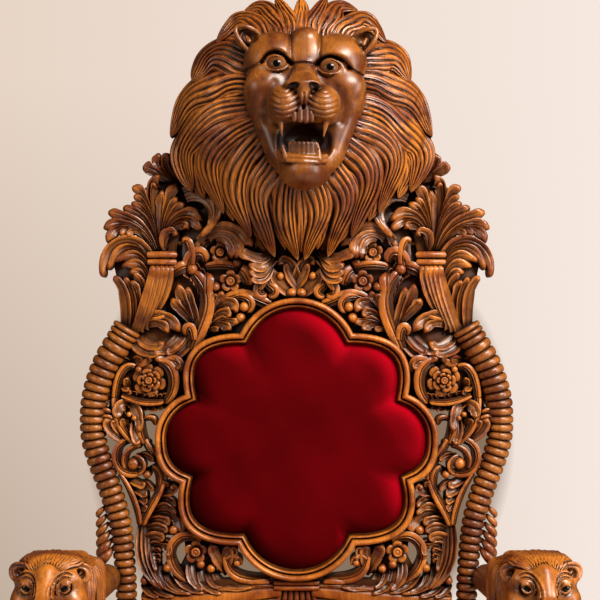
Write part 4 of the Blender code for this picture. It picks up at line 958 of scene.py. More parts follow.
def carved_web(shells, one, other):
    """The low ground between two neighbouring fingers, up to near their tips."""
    reach = 0.82
    t = np.linspace(0, reach, 11)
    a, b = bezier(one[0], t), bezier(other[0], t)
    front_y = WEB_Y + 0.004 * t / reach
    ring = [spot(a, front_y), spot((a + b) / 2, front_y + 0.002), spot(b, front_y),
            spot(b, REAR_Y), spot(a, REAR_Y)]
    # Painted shade on the low web between the fingers
    shells.add(np.stack(ring, axis=1), 0.22)


def button(shells, out, up, radius, top_y, height, petals=0, cup=0.0, turn=0.0):
    """A round boss: a dome, or, with petals, a flower whose petals are cupped."""
    around = max(20, petals * 10)
    angle = circle(around)
    if petals:
        lobe = np.abs(np.sin(petals * (angle + turn) / 2))
        edge = radius * (0.74 + 0.26 * lobe ** 0.6)
        split = np.exp(-(lobe / 0.28) ** 2)
    else:
        edge, split = np.full(around, radius), np.zeros(around)
    rim = np.stack([np.cos(angle) * edge, np.sin(angle) * edge], axis=-1)
    rings = [spot(rim + [out, up], REAR_Y)]
    tones = [np.zeros(around)]
    for r in (1.0, 0.98, 0.90, 0.78, 0.62, 0.45, 0.28, 0.14):
        dome = 0.85 - 0.75 * abs(r - 0.72) ** 1.3 if petals else math.sqrt(1 - r * r * 0.96)
        dish = cup * math.exp(-((r - 0.35) / 0.25) ** 2)
        y = top_y + height * (1 - dome) + dish * height + split * height * 0.45 * r
        # Painted shade in the splits between petals, in the cups and at the foot of the rim
        tone = np.clip(1.0 - 0.85 * split * r - 0.9 * dish, 0, 1)
        if r == 1.0:
            y, tone = y + height * 0.45, tone * 0.3
        rings.append(spot(rim * r + [out, up], y))
        tones.append(tone)
    shells.add(np.array(rings), np.array(tones))


def ring_bead(shells, out, up, radius, thick, y):
    """A small raised ring, as in the heart of a flower."""
    turn = np.linspace(0, 2 * np.pi, 21)
    plan = np.stack([out + np.cos(turn) * radius, up + np.sin(turn) * radius], axis=-1)
    shells.add(round_sweep(spot(plan, y), thick * MM, around=8), 1.0, caps=False)


def flower(shells, out, up, radius):
    """Five cupped petals round a ringed bead."""
    button(shells, out, up, radius, FLOWER_Y, PETAL_HEIGHT, petals=5, cup=0.7, turn=0.3)
    button(shells, out, up, radius * 0.30, FLOWER_Y - 0.0030, 0.004)
    ring_bead(shells, out, up, radius * 0.30, radius * 0.11, FLOWER_Y - 0.0015)


def double_rose(shells, out, up, radius):
    """Three rings of cupped petals round a bead."""
    for share, y, petals, cup, turn in ((1.0, 0.2110, 6, 0.6, 0.2), (0.70, 0.2045, 5, 0.7, 0.6),
                                        (0.44, 0.1985, 5, 0.6, 0.0)):
        button(shells, out, up, radius * share, y, 0.009, petals, cup, turn)
    button(shells, out, up, radius * 0.13, 0.1960, 0.004)
    ring_bead(shells, out, up, radius * 0.15, radius * 0.06, 0.1975)


def collar_band(shells, up, half_length, radius):
    """One rounded band across the plume's neck."""
    steps = 24
    along = np.linspace(-1, 1, steps)
    bow = 0.006 * (1 - along ** 2)
    path = join(-(256 + half_length * along) * MM, 0.2080 - bow, MEDALLION_Z + up * MM)
    ends = np.clip((1 - np.abs(along)) / 0.10, 0.05, 1) ** 0.5
    shells.add(round_sweep(path, radius * ends, around=18), 1.0)
    # A dark bar behind the band, its tone painted shade
    shells.add(round_sweep(path + [0, 0.018, 0], radius * 0.8 * ends, around=10), 0.1)


def ground(shells, outline, y):
    """A plate behind the leaves, closing the places that are carved but not pierced."""
    plan = np.array(outline, float)
    inner = plan.mean(axis=0) + 0.9 * (plan - plan.mean(axis=0))
    # Painted shade on the low ground behind the leaves
    shells.add([spot(inner, y), spot(plan, y + 0.003), spot(plan, REAR_Y)], 0.25)


def carving_shells():
    """The carving of the -X half."""
    shells = Shells()
    rng = random.Random(7)
    for fan in FANS:
        relief, forward = 1.0, 0.0
        if fan is TRUNK:
            relief, forward = 0.35, 0.006
        elif fan in SOFT_FANS:
            relief, forward = 0.6, 0.022
        for rank in range(len(fan)):
            carved_blade(shells, fan, rank, rng, relief, forward)
        for one, other in zip(fan, fan[1:]):
            carved_web(shells, one, other)
    for leaf in BASE_LEAVES + MIDDLE_LEAVES:
        carved_blade(shells, [leaf], 0, rng, forward=0.004)
    for rank, (points, root, tip, *sides) in enumerate(STEMS):
        carved_stem(shells, points, root, tip, rank, rng)
        if sides:
            fringe(shells, points, sides[0], rng)
    for outline in GROUNDS:
        ground(shells, outline, GROUND_Y)
    for ends in TIES:
        # Painted shade on the ties behind the leaves
        shells.add(round_sweep(spot(np.linspace(*ends, 5), TIE_Y), TIE_RADIUS, around=10), 0.40)
    for out, up, radius in BEADS:
        button(shells, out, up, radius * 0.86, BEAD_Y, radius * 0.9 * MM)
    for out, up, radius in ROSES:
        flower(shells, out, up, radius)
    double_rose(shells, *DOUBLE_ROSE)
    for up, half_length in ((349, 29), (335, 28)):
        collar_band(shells, up, half_length, 0.0064)
    return shells


def make_carving():
    """Both halves of the back's carving."""
    shells = carving_shells()
    for side, mirror in SIDES:
        carve(shells, "leaf_carving_" + side, "carving_" + side, mirror, most=140000)


make_carving()


# ---------------------------------------------------------------- modelled forms

class Clay:
    """A form modelled on a grid of distances, in mm to the right, up and forward of its middle."""

    FAR = 60.0
    MARGIN = 14

    def __init__(self, low, high, step, middle):
        self.step = step
        self.low = np.array(low, float)
        self.middle = np.array(middle, float)
        self.axes = [np.arange(a, b + step, step) for a, b in zip(low, high)]
        self.field = np.full([len(axis) for axis in self.axes], self.FAR, np.float32)
        self.painted_shades = []

    def window(self, low, high):
        """The slices between two corners, and the coordinates there."""
        spans = []
        for axis, a, b in zip(self.axes, low, high):
            first, last = np.searchsorted(axis, (a, b))
            spans.append(slice(max(0, int(first) - 1), int(last) + 1))
        grid = np.meshgrid(*[axis[s] for axis, s in zip(self.axes, spans)], indexing="ij", sparse=True)
        return tuple(spans), [part.astype(np.float32) for part in grid]

    def window_round(self, centre, half):
        """The window round a form that reaches half so far each way from its centre."""
        corners = [[c + way * (h + self.MARGIN) for c, h in zip(centre, half)] for way in (-1, 1)]
        return self.window(*corners)

    def merge(self, spans, distance, soft, cut):
        """Join a form on, or cut it away, with a rounded seam of size soft."""
        old = self.field[spans]
        if cut:
            old = -old
        blend = np.clip(soft - np.abs(old - distance), 0, None) ** 2 / (4 * soft)
        new = np.minimum(old, distance) - blend
        self.field[spans] = -new if cut else new

    def ball(self, centre, radii, soft=6.0, cut=False, lean=0.0):
        """An ellipsoid, leaning by some degrees toward the right."""
        reach = max(radii[:2]) if lean else 0
        half = [max(radii[0], reach), max(radii[1], reach), radii[2]]
        spans, (u, v, w) = self.window_round(centre, half)
        u, v, w = u - centre[0], v - centre[1], w - centre[2]
        cos, sin = math.cos(math.radians(lean)), math.sin(math.radians(lean))
        u, v = u * cos - v * sin, u * sin + v * cos
        a, b, c = radii
        near = np.sqrt((u / a) ** 2 + (v / b) ** 2 + (w / c) ** 2) + 1e-6
        slope = np.sqrt((u / a ** 2) ** 2 + (v / b ** 2) ** 2 + (w / c ** 2) ** 2) + 1e-6
        self.merge(spans, near * (near - 1) / slope, soft, cut)

    def block(self, centre, half, edge, soft=3.0, cut=False):
        """A box with rounded edges."""
        spans, grid = self.window_round(centre, half)
        gaps = [np.abs(part - c) - h + edge for part, c, h in zip(grid, centre, half)]
        outside = np.sqrt(sum(np.maximum(gap, 0) ** 2 for gap in gaps))
        inside = np.minimum(np.maximum(np.maximum(gaps[0], gaps[1]), gaps[2]), 0)
        self.merge(spans, outside + inside - edge, soft, cut)

    def bar(self, points, radii, soft):
        """A rounded bar through the points, its radius changing from point to point."""
        points = np.asarray(points, float)
        radii = np.broadcast_to(np.asarray(radii, float), len(points))
        reach = max(radii) + self.MARGIN
        spans, grid = self.window(points.min(axis=0) - reach, points.max(axis=0) + reach)
        best = np.float32(self.FAR)
        for a, b, r, q in zip(points, points[1:], radii, radii[1:]):
            way = b - a
            t = sum((part - start) * step for part, start, step in zip(grid, a, way)) / (way @ way)
            t = np.clip(t, 0, 1).astype(np.float32)
            apart = sum((part - start - step * t) ** 2 for part, start, step in zip(grid, a, way))
            best = np.minimum(best, np.sqrt(apart) - (r + (q - r) * t))
        self.merge(spans, best, soft, cut=False)

    def groove(self, path, depth, width, front=0.0):
        """Press a groove of a given depth and width into the front, along a path seen face on."""
        path = np.asarray(path, float)
        low = [*(path.min(axis=0) - 3 * width), front]
        high = [*(path.max(axis=0) + 3 * width), self.axes[2][-1]]
        spans, (u, v, _) = self.window(low, high)
        best = np.float32(1e6)
        for a, b in zip(path, path[1:]):
            way = b - a
            t = np.clip(((u - a[0]) * way[0] + (v - a[1]) * way[1]) / (way @ way), 0, 1)
            best = np.minimum(best, (u - a[0] - way[0] * t) ** 2 + (v - a[1] - way[1] * t) ** 2)
        self.field[spans] += (depth * np.exp(-best / width ** 2)).astype(np.float32)

    def paint_shade(self, centre, radii, least=0.0):
        """Darken the surface inside an ellipsoid: painted shade in a deep hollow."""
        self.painted_shades.append((np.array(centre), np.array(radii), least))

    def sample(self, points):
        """The distance at each point, in mm."""
        place = (points - self.low) / self.step
        top = np.array(self.field.shape) - 1.001
        place = np.clip(place, 0, top)
        base = place.astype(int)
        part = place - base
        total = np.zeros(len(points))
        for corner in np.ndindex(2, 2, 2):
            share = np.prod(np.where(corner, part, 1 - part), axis=1)
            total += share * self.field[tuple((base + corner).T)]
        return total

    def slope(self, points):
        """How the distance changes to the right, up and forward at each point."""
        return np.stack([self.sample(points + shift) - self.sample(points - shift)
                         for shift in np.eye(3) * self.step], axis=1)

    def world(self, points):
        """Points of the form in metres, in the throne's frame."""
        return self.middle + points[..., [0, 2, 1]] * [MM, -MM, MM]

    def give(self, shells, steps=(3.0, 7.0, 13.0), brightness=0.6):
        """Skin the form and add it, its tone showing how open each place is, which the wood turns into
        painted shade where a place is closed in.
        """
        grid = openvdb.FloatGrid(self.FAR)
        grid.copyFromArray(self.field)
        points, faces = grid.convertToQuads(0.0)
        points = self.low + np.asarray(points, float) * self.step
        normal = unit(self.slope(points), 1e-6)
        openness = sum(np.clip(self.sample(points + normal * h) / h, 0, 1) for h in steps)
        tone = brightness * openness / len(steps)
        for centre, radii, least in self.painted_shades:
            reach = np.linalg.norm((points - centre) / radii, axis=1)
            tone *= np.clip((reach - 0.8) / 0.35, least, 1)
        shells.add_mesh(self.world(points), faces, tone)


# ---------------------------------------------------------------- crest lion

# The face's middle, and its eyes in mm to the right, up and forward of it
FACE = (0.010, 0.105, 1.620)
FACE_EYES = [(-46.0, 74.0, 38.0), (50.0, 67.5, 38.0)]
FACE_EYE_RADIUS = 0.0185


def model_skull(clay):
    """The round of the head, the two swellings over the eyes, the bridge, cheeks, jaw and chin."""
    clay.ball((5, 28, -12), (110, 104, 62))
    clay.ball((-49, 86, 2), (58, 55, 52), soft=8)
    clay.ball((63, 83, 2), (57, 54, 52), soft=8)
    clay.block((6, 98, 8), (29, 48, 38), 26, soft=14)
    for side, across_by in ((-1, -66), (1, 78)):
        clay.ball((across_by - 2 * side, 22, 8), (42, 58, 42), soft=12)
        clay.ball((across_by, 38, 32), (35, 25, 22), soft=16)
        jaw = [(across_by - 8 * side, -30, 10), (across_by - 27 * side, -84, 18),
               (across_by - 54 * side, -116, 40)]
        clay.bar(jaw, (29, 27, 26), soft=12)
    clay.ball((4, -118, 48), (42, 35, 44), soft=10)


def model_muzzle(clay):
    """The wrinkled nose, stepping down to its tip, and the two whisker pads."""
    clay.ball((4, 2, 44), (58, 38, 54), soft=10)
    for v, w, wide, tall, deep in ((62, 44, 19, 16, 24), (52, 60, 22, 16, 26),
                                   (43, 76, 25, 15, 26), (35, 90, 30, 13, 23)):
        clay.ball((3, v, w), (wide, tall, deep), soft=9)
    for u, v, side in ((-30, 1, -1), (37, -1, 1)):
        clay.ball((u, v, 67), (34, 34, 47), soft=4)
        clay.ball((u + 3 * side, v - 14, 68), (28, 24, 42), soft=8)
    clay.ball((2, 29, 102), (34, 11, 20), soft=4)
    clay.ball((3, 12, 96), (12, 22, 21), soft=10)


def model_mouth(clay):
    """The open mouth, its lips, the rows of small teeth and the four fangs."""
    clay.block((4, -65, 90), (50, 31, 64), 22, soft=6, cut=True)
    clay.ball((3, -60, 50), (42, 26, 46), soft=3, cut=True)
    # Painted shade inside the open mouth and, lighter, on the lower teeth under the lip
    clay.paint_shade((4, -62, 40), (58, 35, 52))
    clay.paint_shade((2, -82, 82), (30, 12, 14), 0.35)
    lip = [(-41, -91, 70), (-24, -96, 85), (3, -98, 90), (27, -99, 85), (43, -94, 70)]
    clay.bar(lip, 4.5, soft=3)
    clay.bar([(u, v - 8, w + 1) for u, v, w in lip], 3.8, soft=3)
    for k in range(7):
        u = -21 + 7.6 * k
        w = 84 - 0.008 * (u - 2) ** 2
        clay.bar([(u, -92, w), (u, -73, w + 1)], (4.9, 4.1), soft=3.6)
    clay.bar([(-24, -27, 84), (3, -24, 86), (30, -29, 84)], 7, soft=3)
    for u, bottom, radius in ((-3.5, -33, 5.4), (7, -34, 5.4), (-14, -32, 5.0), (17, -33, 5.0)):
        clay.bar([(u, -14, 97), (u, bottom, 94)], radius, soft=1.0)
    for root, tip in (((-38, -34, 84), (-35.5, -61, 84)), ((43, -36, 84), (38, -62, 84)),
                      ((-29, -97, 84), (-35, -74, 82)), ((31, -101, 84), (29, -73, 82))):
        clay.bar([root, tip], (5.8, 1.0), soft=1.5)


def model_eyes(clay):
    """The sockets and the lids, curving with the eyeballs."""
    for u, v, w in FACE_EYES:
        clay.ball((u, v, w + 22), (22, 14, 18), soft=7, cut=True)
        clay.ball((u, v, w), (18.6, 18.6, 18.6), soft=1.5, cut=True)
        lower = [(u - 23, v - 1), (u - 13, v - 10), (u, v - 12.5), (u + 13, v - 10), (u + 23, v)]
        upper = [(u - 23, v), (u - 13, v + 9), (u, v + 12), (u + 13, v + 9), (u + 22, v + 1)]
        for lid, radius, soft, up, back in ((lower, 2.0, 6, 0, 0), (upper, 1.6, 4, 2.5, 1)):
            clay.bar([(a, b + up, w + 19 - 0.022 * (a - u) ** 2 - 0.015 * (b - v) ** 2 - back)
                      for a, b in lid], radius, soft=soft)


def model_ears(clay):
    """Cupped ears: a hollowed lobe, a rim round it and a small fold inside."""
    rim = [(27, -1, 10), (14, 12, 20), (-4, 19, 26), (-19, 19, 25), (-22, 9, 26), (-13, -9, 28),
           (0, -24, 22)]
    for u, v, side in ((-98, 127, -1), (114, 122, 1)):
        clay.ball((u, v, 4), (24, 22, 18), soft=3)
        clay.ball((u - 2 * side, v + 1, 28), (17, 16, 19), soft=2, cut=True)
        clay.bar(smooth_line([(u - side * a, v + b, w) for a, b, w in rim], 20), 4.2, soft=3)
        fold = [(u - 12 * side, v - 16, 12), (u - 2 * side, v - 8, 24), (u + 3 * side, v + 1, 22)]
        clay.bar(fold, (3, 5, 3), soft=3)


def carve_lines(clay):
    """The lines cut last: brows, furrows, nostrils, whisker arcs and the folds of the nose."""
    for brow, depth, width in (([(-72, 79), (-64, 91), (-48, 96.5), (-32, 89), (-19, 75)], 9, 4.0),
                               ([(-104, 69), (-88, 71), (-72, 78)], 4, 2.4),
                               ([(27, 75), (38, 84), (54, 87.5), (72, 81), (84, 68)], 9, 4.0),
                               ([(84, 68), (102, 59), (119, 56)], 4, 2.4)):
        clay.groove(smooth_line(brow, 24), depth, width)
    clay.groove([(-20, 132), (-21, 105), (-18, 78)], 4, 4)
    clay.groove([(32, 130), (33, 105), (29, 78)], 3, 4)
    clay.groove([(-17, 75), (3, 76), (23, 73)], 4, 2.6)
    for u, side in ((-15, -1), (21, 1)):
        clay.ball((u, 24.5, 122), (10.5, 6.2, 14), soft=2, cut=True, lean=12 * side)
        # Painted shade inside the nostril
        clay.paint_shade((u, 24.5, 112), (11, 7, 10))
    clay.groove([(3, 12), (3, -12)], 4, 2.2, front=60)
    for middle_u, tilt in ((-31, 1), (37, -1)):
        for lowest, half, sag in ((13, 15, 6), (2, 21, 10), (-9, 25, 12), (-18, 27, 12), (-26, 23, 8)):
            s = np.linspace(-1, 1, 13)
            arc = np.stack([middle_u + half * s, lowest + sag * s * s + 2 * tilt * s], axis=-1)
            clay.groove(arc, 2.2, 1.2, front=60)
    for fold in ([(-50, 40), (-66, 18), (-68, -4), (-62, -28)], [(58, 38), (74, 16), (76, -6), (70, -28)]):
        clay.groove(smooth_line(fold, 16), 2.6, 7)
    clay.groove([(-82, 56), (-76, 48), (-70, 46)], 1.2, 1.3)


def face_shells():
    """The crest lion's face, without its eyeballs."""
    clay = Clay((-132, -166, -12), (150, 156, 132), 1.7, FACE)
    model_skull(clay)
    model_muzzle(clay)
    model_ears(clay)
    model_eyes(clay)
    model_mouth(clay)
    carve_lines(clay)
    shells = Shells()
    clay.give(shells)
    return shells


# Locks of the mane: points from root to tip as (out, up) in mm from its middle, width, rise, wave.
MANE_X = 0.009
MANE_Z = 1.621
LOCKS = [
    ([(0, 120), (0, 160), (0, 190), (0, 216)], 40, 10, 0),
    ([(24, 126), (22, 160), (34, 192), (48, 216)], 40, 13, 2),
    ([(40, 126), (46, 162), (70, 196), (106, 194)], 50, 11, 2),
    ([(72, 124), (88, 156), (120, 172), (158, 126)], 56, 17, 3),
    ([(84, 108), (116, 136), (142, 132), (160, 100)], 38, 10, 2),
    ([(84, 82), (134, 95), (176, 94), (202, 54)], 80, 14, -3),
    ([(84, 48), (150, 52), (208, 24), (246, -44)], 70, 12, 4),
    ([(92, 22), (156, 4), (208, -30), (222, -96)], 58, 3, -4),
    ([(90, 2), (168, -20), (224, -70), (207, -148)], 78, 7, 5),
    ([(130, -50), (184, -84), (194, -126), (182, -160)], 44, 3, -3),
    ([(76, -20), (130, -44), (172, -102), (145, -190)], 64, 10, -5),
    ([(96, -76), (144, -108), (140, -160), (126, -204)], 40, 5, 4),
    ([(70, -50), (108, -90), (122, -154), (94, -234)], 60, 12, -5),
    ([(70, -110), (98, -146), (86, -200), (70, -244)], 40, 6, 4),
    ([(50, -96), (72, -140), (76, -196), (50, -270)], 56, 11, -4),
    ([(34, -112), (48, -156), (40, -206), (30, -256)], 40, 5, 3),
    ([(14, -104), (28, -156), (27, -214), (6, -276)], 50, 12, -3),
    ([(0, -100), (0, -160), (0, -220), (0, -262)], 40, 4, 0),
]


STRAND_WIDTH = 11.0
# The dome under the mane: its middle below MANE_Z in mm, half width, half height, least and
# greatest rise in metres
DOME_DROP = 22
DOME_HALF_WIDTH, DOME_HALF_HEIGHT = 0.250, 0.262
DOME_EDGE, DOME_RISE = 0.052, 0.150


def mane_depth(plan):
    """How far forward the mane stands at each place: a low dome falling away to its edge."""
    reach = (plan[..., 0] / DOME_HALF_WIDTH) ** 2 + ((plan[..., 1] + DOME_DROP) / DOME_HALF_HEIGHT) ** 2
    return BACK_Y - np.maximum(DOME_EDGE, DOME_RISE * np.sqrt(np.clip(1 - reach * 1e-6, 0, 1)))


def lock_of_hair(shells, points, width, rise, wave, side, rng):
    """A carved lock: one swelling body, grooved into strands that wave together to one tip."""
    steps = 46
    count = max(3, round(width / STRAND_WIDTH))
    line = smooth_line(points, steps)
    t = np.linspace(0, 1, steps)[:, None]
    flame = (0.86 + 0.14 * np.sin(np.pi * np.minimum(1, t * 1.25))) * (1 - t ** 3.2) ** 0.75 + 0.02
    s = np.linspace(-1, 1, 9 * count + 1)[None, :]
    start = rng.uniform(0, 6.28)
    sway = (1.35 * wave * np.sin(1.2 + 6.6 * t) * np.sin(np.pi * t)
            + 0.05 * width * np.sin(start + 9 * t + s))
    aside = 0.5 * width * flame * s + sway * (1 - t ** 3)
    plan = line[:, None, :] + across(line)[:, None, :] * aside[..., None]
    slip = 0.34 * np.sin(start + 4.4 * t + 2.2 * s) * (1 - s * s) + 0.10 * np.sin(start + 7.1 * s * count)
    phase = (count * (s + 1) / 2 + slip * (1 - s ** 8)) % 1
    rising = np.sin(np.pi / 2 * np.minimum(phase, 0.70) / 0.70) ** 0.8
    falling = np.cos(np.pi / 2 * np.maximum(phase - 0.70, 0) / 0.30) ** 0.6
    strands = np.where(phase < 0.70, rising, falling)
    body = 0.24 * width * flame * np.sqrt(np.clip(1 - 0.96 * s * s, 0, 1))
    groove = np.minimum(4.6, 0.62 * width * flame / count) * (1 - strands ** 0.8)
    lift = 3 + rise * t ** 0.7 + 6 * t ** 4 + body - groove
    front = mane_depth(plan) - lift * MM
    # Painted shade in the grooves between strands and along the lock's edges where it meets its neighbours;
    # the hidden sides behind are darker still
    tone = (0.03 + 0.97 * strands ** 1.9) * np.clip(0.35 + (1 - np.abs(s)) / 0.16, 0, 1)
    edges = [plan[:, -1:], plan[:, -1:], plan[:, :1], plan[:, :1]]
    backs = [front[:, -1:] + 0.010, front[:, -1:] + 0.030, front[:, :1] + 0.030, front[:, :1] + 0.010]
    plan = np.concatenate([plan] + edges, axis=1)
    depth = np.minimum(np.concatenate([front] + backs, axis=1), BACK_Y - 0.002)
    ring = join(MANE_X + side * plan[..., 0] * MM, depth, MANE_Z + plan[..., 1] * MM)
    shells.add(ring, np.concatenate([tone, np.tile([0.35, 0.1, 0.1, 0.35], (steps, 1))], axis=1))


def mane_core(shells):
    """The solid dome the locks lie on."""
    turn = circle(40)
    rings = []
    for reach in np.linspace(0.02, 0.88, 12):
        plan = np.stack([222 * reach * np.cos(turn), 226 * reach * np.sin(turn) - DOME_DROP], axis=-1)
        rings.append(join(MANE_X + plan[:, 0] * MM, mane_depth(plan) + 0.001, MANE_Z + plan[:, 1] * MM))
    back = join(rings[-1][:, 0], BACK_Y, rings[-1][:, 2])
    # Nearly black: painted shade in the gaps between the locks
    shells.add(np.array(rings + [back]), 0.04)


def eye_ball(name, centre, radius, look):
    """A polished eye: tone runs from 0 at the pupil's middle to 1 at the back."""
    shells = Shells()
    forward = Vector((look[0], -abs(look[1]), look[2])).normalized()
    one = forward.cross(Vector((0, 0, 1))).normalized()
    other = forward.cross(one)
    angles = np.linspace(0.02, np.pi - 0.02, 40)
    turn = circle(40)[None, :, None]
    forward, one, other = [np.array(axis) for axis in (forward, one, other)]
    ring = (np.cos(angles)[:, None, None] * forward
            + np.sin(angles)[:, None, None] * (np.cos(turn) * one + np.sin(turn) * other))
    shells.add(np.array(centre) + radius * ring, (angles / np.pi)[:, None])
    return shells.build(name)


def make_crest():
    """The crest lion: mane, face and eyes."""
    rng = random.Random(11)
    mane = Shells()
    mane_core(mane)
    for side in (-1, 1):
        for points, width, rise, wave in LOCKS:
            lock_of_hair(mane, points, width, rise, wave, side, rng)
    carve(mane, "mane", "crest_lion", most=130000)
    carve(face_shells(), "lion_face", "crest_lion", sharp=70, most=140000)
    for (u, v, w), (side, _) in zip(FACE_EYES, SIDES):
        centre = (FACE[0] + u * MM, FACE[1] - w * MM, FACE[2] + v * MM)
        eye = eye_ball("lion_eye_" + side, centre, FACE_EYE_RADIUS, (0.10, 7.0, -0.02))
        dress(eye, EYE, "crest_eye_" + side)


make_crest()


# ---------------------------------------------------------------- arms

ARM_MIDDLE = (-ARM_X, 0.0, 0.830)
ARM_HEAD_EYES = {"outer": (-30.0, -1.0, 304.0), "inner": (29.0, -1.0, 304.0)}
ARM_EYE_RADIUS = 0.0088


def settle(clay, points, height, rounds=5):
    """Move points until they stand a given height off the form's surface."""
    points = np.array(points, float)
    for _ in range(rounds):
        slope = unit(clay.slope(points), 1e-6)
        points -= slope * (clay.sample(points) - height)[:, None]
    return points


def hair(shells, clay, points, width, strands, rng, height=0.9):
    """A tuft of strands lying on a form, along a rough path, closing to a point."""
    steps = 22
    middle = settle(clay, smooth_line(points, steps), 0.0)
    beside = unit(np.cross(clay.slope(middle), np.gradient(middle, axis=0)), 1e-6)
    t = np.linspace(0, 1, steps)
    flame = (0.85 + 0.15 * np.sin(np.pi * t)) * (1 - t ** 3.0) ** 0.8
    wave_at = rng.uniform(0, 6.28)
    rise = height - 2.2 * (1 - np.clip(t / 0.12, 0, 1))
    for k in range(strands):
        s = 2 * (k + 0.5) / strands - 1
        end = 1 - 0.12 * rng.random() * abs(s)
        sway = 0.12 * width * np.sin(wave_at + 6 * t) * np.sin(np.pi * t)
        row = settle(clay, middle + beside * (0.5 * width * s * flame + sway)[:, None],
                     rise + 1.2 * (1 - s * s), rounds=3)
        keep = t <= end
        root = 0.12 + 0.88 * np.clip(t / 0.25, 0, 1) ** 0.7
        radius = 0.60 * width / strands * np.maximum(flame, 0.10) * root
        rings = free_sweep(row[keep], radius[keep])
        off = clay.sample(rings.reshape(-1, 3)).reshape(rings.shape[:2]) - rise[keep][:, None]
        # Painted shade on the underside of each strand, where it sinks toward the form
        tone = 0.85 * np.clip((off / radius[keep][:, None] - 0.45) / 0.55, 0.03, 1)
        shells.add(clay.world(rings), tone)


def free_sweep(path, radii, around=8):
    """A round tube about any path, its frame carried along without twisting."""
    along = unit(np.gradient(path, axis=0))
    side = np.cross(along[0], [0.13, 0.27, 0.95])
    sides = []
    for way in along:
        side = side - way * (side @ way)
        side = side / (np.linalg.norm(side) + 1e-9)
        sides.append(side)
    sides = np.array(sides)
    deep = np.cross(along, sides)
    angle = circle(around)[None, :, None]
    radii = np.broadcast_to(radii, len(path))[:, None, None]
    turned = np.cos(angle) * sides[:, None, :] + np.sin(angle) * deep[:, None, :]
    return path[:, None, :] + radii * turned


def model_arm_head(clay):
    """The arm's lion head: skull, muzzle, jaw, grooved eyes, cupped ears, nostrils and whisker lines."""
    clay.ball((0, -14, 245), (56, 55, 72))
    clay.block((2, -8, 236), (50, 46, 50), 16, soft=8)
    clay.ball((0, 10, 272), (44, 22, 36), soft=10)
    clay.bar([(0, 18, 300), (0, -18, 332), (0, -30, 352)], (17, 15, 15), soft=8)
    clay.ball((0, -30, 363), (16, 9, 10), soft=5)
    clay.ball((0, -50, 318), (34, 26, 40), soft=8)
    clay.ball((0, -84, 318), (26, 18, 32), soft=10)
    for side in (-1, 1):
        clay.ball((side * 16, -46, 342), (20, 17, 22), soft=8)
        clay.ball((side * 24, -52, 318), (18, 20, 22), soft=10)
        clay.ball((side * 38, -26, 280), (22, 26, 30), soft=10)
        clay.ball((side * 30, 10, 284), (24, 18, 22), soft=10)
    clay.ball((0, -70, 352), (20, 7, 26), soft=3, cut=True)
    # Painted shade inside the open mouth
    clay.paint_shade((0, -70, 345), (18, 7, 20))
    for place, (u, v, w) in ARM_HEAD_EYES.items():
        side = -1 if place == "outer" else 1
        turn = np.radians(np.linspace(-30, 120, 14))
        for reach, depth in ((14.5, -2.4), (17.4, 2.0), (20.2, -2.4), (23.0, 2.0), (25.8, -2.2)):
            arc = [(u - side * 0.80 * reach * math.sin(a), v - 1 + reach * math.cos(a)) for a in turn]
            clay.groove(arc, depth, 1.7, front=240)
        clay.ball((u, v + 9, w), (12, 5, 8), soft=3)
        clay.ball((u, v - 0.6, w + 15), (10.5, 5.6, 8), soft=3, cut=True, lean=12 * side)
        clay.ball((u, v, w), (9.8, 9.8, 9.8), soft=1, cut=True)
        for way, radius in ((-1, 2.2), (1, 2.4)):
            lid = [(u + 1.4 * k, v + way * (6.6 - 0.17 * k * k) + side * 0.3 * k, w + 7.4 - 0.10 * k * k)
                   for k in range(-5, 6)]
            clay.bar(lid, radius, soft=1.5)
    rim = [(18, 8, 14), (4, 14, 10), (-8, 13, 7), (-15, 6, 4), (-15, -3, 6), (-10, -10, 10), (-3, -13, 12)]
    for u, v, w, side in ((-44, 19, 277, -1), (48, 16, 270, 1)):
        clay.ball((u, v - 2, w), (17, 16, 14), soft=3)
        clay.ball((u - side, v, w + 15), (10, 8.5, 9), soft=2, cut=True)
        clay.bar(smooth_line([(u - side * a, v + b, w + c) for a, b, c in rim], 20), 2.8, soft=1.5)
        fold = [(u - 10 * side, v - 8, w + 7), (u - 3 * side, v - 3, w + 9), (u + side, v + 2, w + 7)]
        clay.bar(fold, (2, 3, 2), soft=2)
    for side in (-1, 1):
        clay.ball((side * 9, -32, 372), (4.5, 3, 7), soft=1, cut=True)
        for reach in (12, 17, 22):
            turn = np.radians(np.linspace(-50, 60, 9)) * side
            arc = [(side * 16 + 0.8 * reach * math.sin(a), -34 - reach * math.cos(a)) for a in turn]
            clay.groove(arc, 1.6, 1.2, front=325)
    clay.groove([(0, -38), (0, -62)], 3, 1.6, front=330)


def model_arm_body(clay):
    """The neck, the shoulder above the leg, and the arm tapering back to the horn."""
    clay.ball((0, -18, 215), (57, 52, 60))
    clay.block((10, -30, 186), (56, 54, 54), 30, soft=10)
    clay.ball((0, -55, 218), (54, 76, 68), soft=12)
    clay.bar([(0, -30, 232), (0, -90, 236), (0, -145, 240)], (57, 52, 47), soft=10)
    clay.bar([(0, -26, 210), (4, -50, 100), (12, -78, -40), (22, -88, -200)], (56, 43, 31, 27), soft=10)


